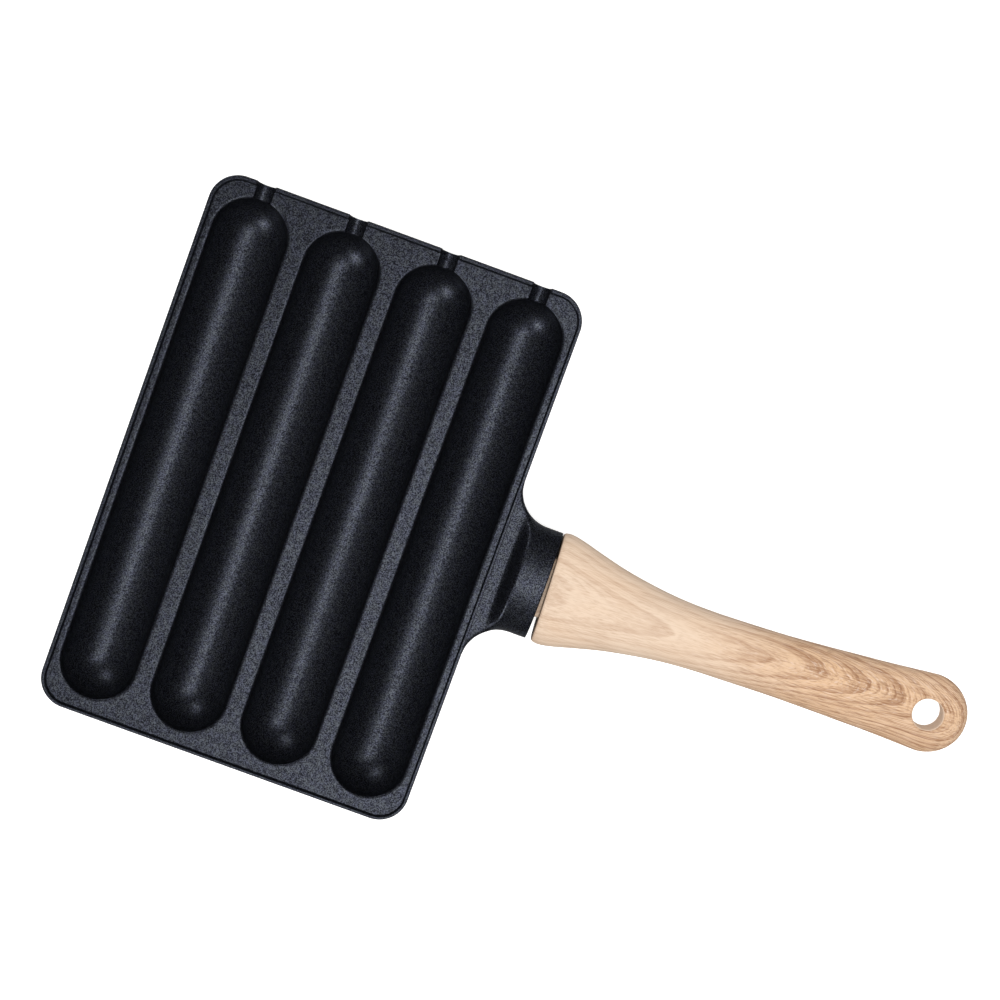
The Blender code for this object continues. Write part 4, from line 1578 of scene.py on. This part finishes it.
@dataclass
class Handle:
    """The wooden handle: shoulder, swell, waist, tail and hanging hole."""

    length: float = 0.1743
    bow: float = 0.0006
    front_width: float = 0.0464
    waist_width: float = 0.0249
    tail_width: float = 0.0318
    front_crown: float = 0.0123
    front_keel: float = 0.0103
    waist_thickness: float = 0.0190
    tail_thickness: float = 0.0145
    tail_rise: float = 0.0175
    edge: float = 0.0012
    power: float = 2.2
    cap_length: float = 0.0163
    cap_power: float = 4.0
    hole_radius: float = 0.0062
    hole_setback: float = 0.0164
    hole_round: float = 0.0012
    hole_edge_share: float = 0.25
    overcut: float = 0.006
    edge_steps: int = 5
    body_steps: int = 120
    body_crowding: float = 1.15
    cap_steps: int = 32
    flare_steps: int = 10
    hole_around: int = 120
    around: int = 128

    # Shares of the length, each with its share of the front's, tail's, rise's or bow's size.
    TAPER = ((0.0, 0.965), (0.02, 1.0), (0.05, 0.91), (0.105, 0.66), (0.16, 0.43), (0.22, 0.245),
             (0.275, 0.115), (0.33, 0.035), (0.39, 0.0))
    SWELL = ((0.39, 0.0), (0.5, 0.01), (0.56, 0.05), (0.61, 0.14), (0.67, 0.27), (0.725, 0.42),
             (0.78, 0.55), (0.84, 0.75), (0.87, 0.87), (0.9065, 1.0))
    RISE = ((0.0, 0.0), (0.08, 0.19), (0.16, 0.35), (0.275, 0.53), (0.39, 0.66), (0.5, 0.76),
            (0.62, 0.845), (0.73, 0.905), (0.85, 0.96), (1.0, 1.02))
    BOW = ((0.0, 0.0), (0.16, 0.6), (0.28, 0.86), (0.42, 1.0), (0.56, 0.82), (0.68, 0.52), (0.8, 0.2),
           (0.92, 0.0), (1.0, 0.0))
    COLUMNS = ("spot_x", "spot_y", "spot_z", "half", "above", "below")

    @staticmethod
    def read(table: Sequence[Point2], place: float) -> float:
        """Reads a table of shares on a smooth curve through its points.

        Args:
            table: places and shares.
            place: the place to read it at.

        Returns:
            The share there.
        """
        last = len(table) - 1
        if place <= table[0][0]:
            return table[0][1]
        if place >= table[last][0]:
            return table[last][1]
        this = max(index for index in range(last) if table[index][0] <= place)
        slopes = []
        for index in (this, this + 1):
            low, high = max(index - 1, 0), min(index + 1, last)
            slopes.append((table[high][1] - table[low][1]) / (table[high][0] - table[low][0]))
        left, right = table[this], table[this + 1]
        span = right[0] - left[0]
        along = (place - left[0]) / span
        bend = smooth_share(along)
        return ((1.0 - bend) * left[1] + bend * right[1]
                + span * along * (1.0 - along) * ((1.0 - along) * slopes[0] - along * slopes[1]))

    def form(self, along: float) -> tuple[float, float, float, float, float]:
        """Works out the handle's section at a place.

        Args:
            along: the place along the handle.

        Returns:
            The half width, the heights of crown and keel, the rise and the bow.
        """
        share = along / self.length
        table, end = self.TAPER, (self.front_width / 2, self.front_crown, self.front_keel)
        if share >= table[-1][0]:
            table, end = self.SWELL, (self.tail_width / 2, self.tail_thickness / 2, self.tail_thickness / 2)
        waist = (self.waist_width / 2, self.waist_thickness / 2, self.waist_thickness / 2)
        blend = self.read(table, share)
        half, crown, keel = (thin * (1.0 - blend) + full * blend for thin, full in zip(waist, end))
        rise, bow = self.tail_rise * self.read(self.RISE, share), -self.bow * self.read(self.BOW, share)
        return half, crown, keel, rise, bow

    def stations(self) -> list[Row]:
        """Lists the stations along the handle.

        Returns:
            At each, the place, how far the section is drawn in, and the shares of width and height.
        """
        rows = [(0.0, self.edge, 0.0, 0.0)]
        rows += [(self.edge * (1.0 - math.cos(angle)), self.edge * (1.0 - math.sin(angle)), 1.0, 1.0)
                 for angle in quarter_turn(self.edge_steps)]
        cap_start = self.length - self.cap_length
        for step in range(1, self.body_steps + 1):
            gone = (step / self.body_steps) ** self.body_crowding
            rows.append((self.edge + (cap_start - self.edge) * gone, 0.0, 1.0, 1.0))
        for angle in quarter_turn(self.cap_steps)[1:-1]:
            thin = math.sqrt(max(1.0 - math.sin(angle) ** self.cap_power, 0.0))
            rows.append((cap_start + self.cap_length * math.sin(angle), 0.0, math.cos(angle), thin))
        return rows + [(self.length, 0.0, 0.0, 0.0)]

    def guide(self, shoulder: float) -> list[tuple[float, ...]]:
        """Tables what the loft reads at each station.

        Args:
            shoulder: where the wood starts, from the neck's end.

        Returns:
            The rows of the table, in the order of its columns.
        """
        rows = []
        for along, inset, narrow, thin in self.stations():
            half, above, below, rise, aside = self.form(along)
            sizes = (half * narrow, above * thin, below * thin)
            rows.append((shoulder + along, aside, rise, *(max(size - inset, 0.0) for size in sizes)))
        return rows

    def loft_rule(self, stations: int, material: Material) -> GeometryRule:
        """Writes the tree that lofts rounded sections along the guide's stations.

        Args:
            stations: how many stations there are.
            material: the wood.

        Returns:
            The tree.
        """
        rule = GeometryRule("loft_handle", {"Stations": stations, "Around": self.around + 1,
                                            "Section Power": self.power})
        grid, index, angle = rule.lofted_grid()
        x, y, z, half, above, below = (rule.sampled(column, index) for column in self.COLUMNS)
        shape, cosine, sine = 2.0 / rule.size("Section Power"), angle.cosine(), angle.sine()
        across = abs(cosine) ** shape * ((cosine > 0.0) * 2.0 - 1.0)
        up = abs(sine) ** shape * ((sine > 0.0) * 2.0 - 1.0)
        reach = (sine > 0.0).blend(below, above)
        rule.close_loft(grid, (x, y + half * across, z + reach * up), material)
        return rule

    def blank(self, shoulder: float, material: Material) -> Object:
        """Lofts the handle's body.

        Args:
            shoulder: where the wood starts, from the neck's end.
            material: the wood.

        Returns:
            The body.
        """
        rows = self.guide(shoulder)
        rule = self.loft_rule(len(rows), material)
        made = place_mesh("wooden_grip", rule.bake(table_object("guide", self.COLUMNS, rows)))
        tidy_mesh(made.data)
        LOG.info("handle blank: %d open edges", open_edges(made.data))
        return made

    def surface(self, along: float, aside: float, side: int) -> float:
        """Measures the height of the wood's upper or lower face.

        Args:
            along: the place along the handle, up to where the tail's end rounds off.
            aside: the place across it.
            side: 1 for the upper face and -1 for the lower one.

        Returns:
            The height.
        """
        half, above, below, rise, bow = self.form(along)
        inward = max(along - self.length + self.cap_length, 0.0) / self.cap_length
        half *= math.sqrt(1.0 - inward * inward)
        reach = (above if side > 0 else -below) * math.sqrt(1.0 - inward ** self.cap_power)
        crown = max(1.0 - (abs(aside - bow) / half) ** self.power, 0.0) ** (1.0 / self.power)
        return rise + reach * crown

    def hole(self, shoulder: float) -> Object:
        """Makes the hanging hole's cutter, whose flared rims follow the crown of the wood.

        Args:
            shoulder: where the wood starts, from the neck's end.

        Returns:
            The cutter.
        """
        along, radius, soft = self.length - self.hole_setback, self.hole_radius, self.hole_round
        _, _, _, rise, aside = self.form(along)
        lean = (self.form(along + radius)[3] - self.form(along - radius)[3]) / (2 * radius)
        flare = [(radius + soft, self.overcut), (radius + soft, self.hole_edge_share * soft)]
        flare += [(radius + soft * (1.0 - math.cos(angle)), soft * (math.sin(angle) - 1.0))
                  for angle in reversed(quarter_turn(self.flare_steps))]
        rings = []
        for side, rows in ((-1, flare), (1, flare[::-1])):
            for ring in turn_profile(rows, self.hole_around):
                spots = [(along + x, aside + y, over) for x, y, over in ring]
                heights = [self.surface(x, y, side) + side * over for x, y, over in spots]
                rings.append([(shoulder + x - lean * (z - rise), y, z)
                              for (x, y, _), z in zip(spots, heights)])
        return skin_rings("hanging_hole", rings)

    @staticmethod
    def tenon(hold: HandleJoint, shoulder: float) -> Object:
        """Makes the tenon, running into the body."""
        ends = (-hold.tenon_length, shoulder + hold.tenon_length)
        return skin_rings("tenon", [[(x, y, z) for y, z in hold.section()] for x in ends])

    @staticmethod
    def bush_hole(hold: HandleJoint) -> Object:
        """Makes the cutter for the bush's hole in the tenon.

        Args:
            hold: the joint between the neck and the handle.

        Returns:
            The cutter.
        """
        radius = hold.screw_radius + hold.bush_wall + 2 * hold.gap
        top = hold.bush_length - hold.tenon_drop + 2 * hold.gap
        profile = [(radius, -hold.tenon_drop - hold.overrun), (radius, top)]
        made = skin_rings("bush_hole", turn_profile(profile, hold.hole_steps))
        made.data.transform(Matrix.Translation((-hold.screw_setback, 0.0, 0.0)))
        return made

    def build(self, hold: HandleJoint, casting: Casting, material: Material) -> Object:
        """Builds the handle and sets it in the neck.

        Args:
            hold: the joint between the neck and the handle.
            casting: the casting that carries the handle.
            material: the wood.

        Returns:
            The finished piece.
        """
        shoulder = hold.gap + (self.front_width / 2 - self.edge) * math.tan(hold.skew)
        made = self.blank(shoulder, material)
        combine(made, self.tenon(hold, shoulder), Cut.JOIN)
        combine(made, self.hole(shoulder), Cut.REMOVE)
        combine(made, self.bush_hole(hold), Cut.REMOVE)
        made.data.transform(hold.seat(casting))
        tidy_mesh(made.data)
        finish_piece(made, ["wooden_handle"], material)
        return made


# The fastening


@dataclass
class Fastening:
    """The screw, its two washers and the bush that it grips in the tenon."""

    hold: HandleJoint
    casting: Casting
    head_radius: float = 0.0042
    head_height: float = 0.0026
    head_edge: float = 0.0006
    head_edge_steps: int = 8
    head_knurl: float = 0.5
    knurl_margin_shares: Point2 = (1.2, 1.4)
    tip_chamfer: float = 0.0005
    reach: float = 0.0075
    key_radius: float = 0.0018
    key_depth: float = 0.0014
    key_sides: int = 6
    key_land_share: float = 1.2
    bush_chamfer: float = 0.0004
    bush_thread: float = 0.6
    flat_thickness: float = 0.0010
    spring_radius: float = 0.0039
    spring_thickness: float = 0.0012
    split_degrees: float = 14.0
    spring_lift: float = 0.0002
    soft: float = 0.00018
    soft_steps: int = 4
    pitch: float = 0.0007
    thread_depth: float = 0.0003
    knurl_depth: float = 0.00018
    knurls: int = 28
    around: int = 112
    steps_per_pitch: int = 8
    least_steps: int = 4
    fade_rate: float = 2.0

    COLUMNS = ("radius", "height", "thread", "knurl")

    def __post_init__(self) -> None:
        """Stacks the pieces up from the neck's seat."""
        gap = self.hold.gap
        self.bore = self.hold.screw_radius + gap
        self.flat_base = self.hold.spot_face - self.casting.neck_keel - gap - self.flat_thickness
        self.spring_base = self.flat_base - gap - self.spring_thickness - self.spring_lift
        self.head_top = self.spring_base - gap
        self.bush_base = gap - self.hold.tenon_drop

    def turned_rule(self, name: str, stations: int, material: Material) -> GeometryRule:
        """Writes the tree that turns a profile and cuts a thread and a knurl where its rows say so.

        Args:
            name: the tree's name.
            stations: how many rows the profile has.
            material: the piece's finish.

        Returns:
            The tree.
        """
        rule = GeometryRule(name, {"Stations": stations, "Around": self.around + 1,
                                   "Pitch": self.pitch, "Thread Depth": self.thread_depth,
                                   "Knurls": float(self.knurls), "Knurl Depth": self.knurl_depth})
        grid, index, angle = rule.lofted_grid()
        radius, height, thread, knurl = (rule.sampled(column, index) for column in self.COLUMNS)
        # A whole number of turns is added, so that the fraction is never taken below zero.
        turn = (height / rule.size("Pitch") - angle / math.tau + float(stations)).fraction()
        groove = abs(turn * 2.0 - 1.0)
        wave = (angle * rule.size("Knurls")).cosine()
        cut = (radius - groove * rule.size("Thread Depth") * thread
               - (0.5 - 0.5 * wave) * rule.size("Knurl Depth") * knurl)
        rule.close_loft(grid, (cut * angle.cosine(), cut * angle.sine(), height), material)
        return rule

    def turned(self, name: str, rows: Sequence[Row], material: Material) -> Object:
        """Turns a piece.

        Args:
            name: the piece's name.
            rows: radius, height, share of thread and share of knurl at each station.
            material: its finish.

        Returns:
            The piece on its own axis.
        """
        rule = self.turned_rule(f"turn_{name}", len(rows), material)
        made = place_mesh(name, rule.bake(table_object("profile", self.COLUMNS, rows)))
        tidy_mesh(made.data)
        return made

    @staticmethod
    def plain(*points: Point2) -> list[Row]:
        """Lists rows of a profile that have no thread and no knurl."""
        return [(radius, height, 0.0, 0.0) for radius, height in points]

    def wall(self, radius: float, low: float, high: float, thread: float, knurl: float) -> list[Row]:
        """Lists a straight wall's rows, with its thread or knurl fading in and out at the ends.

        Args:
            radius: the wall's radius.
            low: the height of its first row.
            high: the height of its last row.
            thread: its share of the thread's depth.
            knurl: its share of the knurl's depth.

        Returns:
            The rows.
        """
        tall = abs(high - low)
        steps = max(self.least_steps, round(tall / self.pitch * self.steps_per_pitch))
        rows = []
        for step in range(steps + 1):
            share = step / steps
            fade = smooth_share(min(share, 1.0 - share) * tall / self.pitch * self.fade_rate)
            rows.append((radius, low + (high - low) * share, thread * fade, knurl * fade))
        return rows

    def screw(self, material: Material) -> Object:
        """Builds the socket screw.

        Args:
            material: its finish.

        Returns:
            The screw on its own axis.
        """
        bottom, tip = -self.head_height, self.bush_base + self.reach - self.head_top
        radius, edge, soft = self.hold.screw_radius, self.head_edge, self.soft
        above, below = self.knurl_margin_shares
        rows = self.plain((0.0, bottom), (self.key_radius * self.key_land_share, bottom))
        rows += self.plain(*((self.head_radius - edge * (1.0 - math.sin(angle)),
                              bottom + edge * (1.0 - math.cos(angle)))
                             for angle in quarter_turn(self.head_edge_steps)))
        rows += self.wall(self.head_radius, bottom + edge * above, -soft * below, 0.0, self.head_knurl)
        rows += self.plain((self.head_radius - soft, 0.0), (radius + soft, 0.0))
        rows += self.wall(radius, soft, tip - self.tip_chamfer, 1.0, 0.0)
        rows += self.plain((radius - self.tip_chamfer, tip), (0.0, tip))
        made = self.turned("socket_screw", rows, material)
        key = [(self.key_radius, bottom - self.hold.overrun), (self.key_radius, bottom + self.key_depth)]
        combine(made, skin_rings("key_socket", turn_profile(key, self.key_sides)), Cut.REMOVE)
        return made

    def bush(self, material: Material) -> Object:
        """Builds the threaded, knurled bush.

        Args:
            material: its finish.

        Returns:
            The bush on its own axis.
        """
        outer, long, chamfer = self.bore + self.hold.bush_wall, self.hold.bush_length, self.bush_chamfer
        rows = self.plain((self.bore, 0.0), (outer - chamfer, 0.0))
        rows += self.wall(outer, chamfer, long - chamfer, 0.0, 1.0)
        rows += self.plain((outer - chamfer, long), (self.bore, long))
        rows += self.wall(self.bore, long - self.soft, self.soft, self.bush_thread, 0.0)
        return self.turned("brass_bush", rows + rows[:1], material)

    def washer_section(self, outer: float, thickness: float) -> list[Point2]:
        """Outlines a washer's section, with its edges worn round.

        Args:
            outer: the washer's outer radius.
            thickness: its thickness.

        Returns:
            Radius and height at each point.
        """
        right, left = outer - self.soft, self.bore + self.soft
        low, high = self.soft, thickness - self.soft
        points = []
        for quarter, middle in enumerate(((right, low), (right, high), (left, high), (left, low)), -1):
            points += quarter_arc(middle, self.soft, quarter, self.soft_steps)
        return points

    def flat_washer(self) -> Object:
        """Builds the stamped washer."""
        profile = self.washer_section(self.hold.washer_radius, self.flat_thickness)
        return skin_rings("plain_washer", turn_profile(profile, self.around), closed=True)

    def spring_washer(self) -> Object:
        """Builds the split washer, whose ends stand a little apart.

        Returns:
            The washer on its own axis.
        """
        half_split = math.radians(self.split_degrees) / 2
        section = self.washer_section(self.spring_radius, self.spring_thickness)
        rings = []
        for step in range(self.around + 1):
            share = step / self.around
            angle = half_split + (math.tau - 2 * half_split) * share
            rings.append([(radius * math.cos(angle), radius * math.sin(angle),
                           height + self.spring_lift * share) for radius, height in section])
        return skin_rings("split_washer", rings)

    def build(self, steel: Material, brass: Material) -> None:
        """Builds the four pieces and seats them on the screw's axis.

        Args:
            steel: the finish of the screw and the washers.
            brass: the finish of the bush.
        """
        seat = self.hold.seat(self.casting)
        stack = ((self.screw(steel), "handle_screw", self.head_top, "zinc_steel", steel),
                 (self.flat_washer(), "flat_washer", self.flat_base, "zinc_steel", steel),
                 (self.spring_washer(), "spring_washer", self.spring_base, "zinc_steel", steel),
                 (self.bush(brass), "threaded_insert", self.bush_base, "brass", brass))
        for made, node, height, slot, material in stack:
            made.data.transform(seat @ Matrix.Translation((-self.hold.screw_setback, 0.0, height)))
            tidy_mesh(made.data)
            finish_piece(made, [node], material)


# The studio


class Reach(Enum):
    """Which part of a surface's shine a lamp feeds."""

    ALL = "all"
    GLOSS = "gloss"
    MATT = "matt"


@dataclass(frozen=True)
class SoftLight:
    """A soft studio lamp: where it is, how wide it is and how bright."""

    name: str
    tilt_degrees: Point2
    distance: float
    size: Point2
    power: float
    reach: Reach = Reach.ALL

    def build(self) -> None:
        """Hangs the lamp over the origin, leaning across and along by its tilts."""
        lean_x, lean_y = (math.radians(angle) for angle in self.tilt_degrees)
        away = Vector((math.tan(lean_x), math.tan(lean_y), 1.0)).normalized()
        lamp = bpy.data.lights.new(self.name, "AREA")
        lamp.shape = "ELLIPSE"
        lamp.size, lamp.size_y = self.size
        lamp.energy = self.power
        made = bpy.data.objects.new(self.name, lamp)
        made.location = away * self.distance
        made.rotation_mode = "QUATERNION"
        made.rotation_quaternion = (-away).to_track_quat("-Z", "Y")
        made.visible_diffuse = self.reach is not Reach.GLOSS
        made.visible_glossy = self.reach is not Reach.MATT
        bpy.context.scene.collection.objects.link(made)


@dataclass
class Studio:
    """The floor, the lamps and the camera."""

    floor_size: float = 16.0
    floor_depth: float = 0.0002
    floor_reflection_sheet_depth: float = 0.0010
    room_level: float = 0.86
    lens: float = 90.11
    sensor: float = 36.0
    camera_range: Point2 = (0.05, 20.0)
    camera_place: Point3 = (0.04404, 0.11987, 1.01904)
    camera_rows: tuple[Point3, Point3, Point3] = ((0.93911718, 0.34354057, -0.00622881),
                                                  (-0.34250371, 0.93453003, -0.09666866),
                                                  (-0.0273886, 0.09291659, 0.99529713))
    lamps: tuple[SoftLight, ...] = (
        SoftLight("main_lamp", (8.6, -7.0), 1.4, (1.06, 0.40), 6.0),
        SoftLight("top_lamp", (0.0, 2.0), 2.0, (0.90, 0.90), 16.5, Reach.MATT),
        SoftLight("lower_lamp", (-36.0, -52.0), 1.8, (0.36, 0.36), 9.0, Reach.GLOSS),
        SoftLight("upper_lamp", (-40.0, 45.0), 1.8, (0.50, 0.50), 4.2, Reach.GLOSS),
        SoftLight("sky_lamp", (0.0, 0.0), 2.4, (5.0, 5.0), 6.6))

    def lay(self, name: str, depth: float, paper: Material, seen: bool) -> None:
        """Lays a square sheet under the pan.

        Args:
            name: the sheet's name.
            depth: how far it lies below the pan.
            paper: its finish.
            seen: the camera sees it; a sheet that isn't seen glows only in the coating's gloss, as a
                painted reflection of the floor.
        """
        reach = self.floor_size / 2
        sheet = mesh_from(name, [(-reach, -reach, -depth), (reach, -reach, -depth),
                                 (reach, reach, -depth), (-reach, reach, -depth)], [(0, 1, 2, 3)])
        sheet.data.materials.append(paper)
        sheet.visible_camera = sheet.visible_shadow = seen
        sheet.visible_diffuse = False
        sheet.visible_glossy = not seen

    def light(self) -> None:
        """Hangs the lamps and fills the room with a plain light that the gloss doesn't show."""
        for lamp in self.lamps:
            lamp.build()
        world = bpy.data.worlds.new("room")
        world.use_nodes = True
        Board(world.node_tree).feed(world.node_tree.nodes["Background"],
                                    {"Color": (1.0, 1.0, 1.0, 1.0), "Strength": self.room_level})
        world.cycles_visibility.glossy = False
        bpy.context.scene.world = world
        bpy.context.scene.view_settings.view_transform = "Standard"

    def aim(self) -> None:
        """Puts the camera at the photo's angle."""
        lens = bpy.data.cameras.new("camera")
        lens.lens, lens.sensor_width = self.lens, self.sensor
        lens.clip_start, lens.clip_end = self.camera_range
        camera = bpy.data.objects.new("camera", lens)
        turn = Matrix(self.camera_rows).transposed().to_4x4()
        camera.matrix_world = Matrix.Translation(self.camera_place) @ turn
        bpy.context.scene.collection.objects.link(camera)
        bpy.context.scene.camera = camera

    def build(self, paper: Material, floor_reflection_paper: Material) -> None:
        """Sets up the floor, the glowing sheet that the gloss shows as a painted reflection of the floor,
        the lamps and the camera.

        Args:
            paper: the floor's finish.
            floor_reflection_paper: the dimmer sheet's finish.
        """
        self.lay("floor", self.floor_depth, paper, True)
        # A black sheet that only glows, seen only in the coating's gloss: a painted reflection of the
        # floor.
        self.lay("floor_reflection_sheet", self.floor_reflection_sheet_depth, floor_reflection_paper, False)
        self.light()
        self.aim()


def main() -> None:
    """Builds the pan on its frame, piece by piece, and the studio round it."""
    logging.basicConfig(level=logging.INFO, format="%(name)s %(message)s")
    for old in list(bpy.data.objects):
        bpy.data.objects.remove(old, do_unlink=True)
    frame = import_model()
    LOG.info("frame: %d nodes", len(frame["nodes"]))
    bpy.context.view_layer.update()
    casting, hold, handle = Casting(), HandleJoint(), Handle()
    casting.build(hold, SparkleCoating("sparkle_coating").build())
    handle.build(hold, casting, PaleWood("pale_wood").build())
    Fastening(hold, casting).build(PlainMetal("zinc_steel").build(),
                                   PlainMetal("turned_brass", base=(0.72, 0.52, 0.25)).build())
    # The second paper glows without being a lamp: a painted reflection of the floor in the coating's gloss.
    Studio().build(StudioPaper("studio_paper").build(),
                   StudioPaper("floor_reflection_paper", base=(0.0, 0.0, 0.0), glow=0.35).build())


if __name__ == "__main__":
    main()
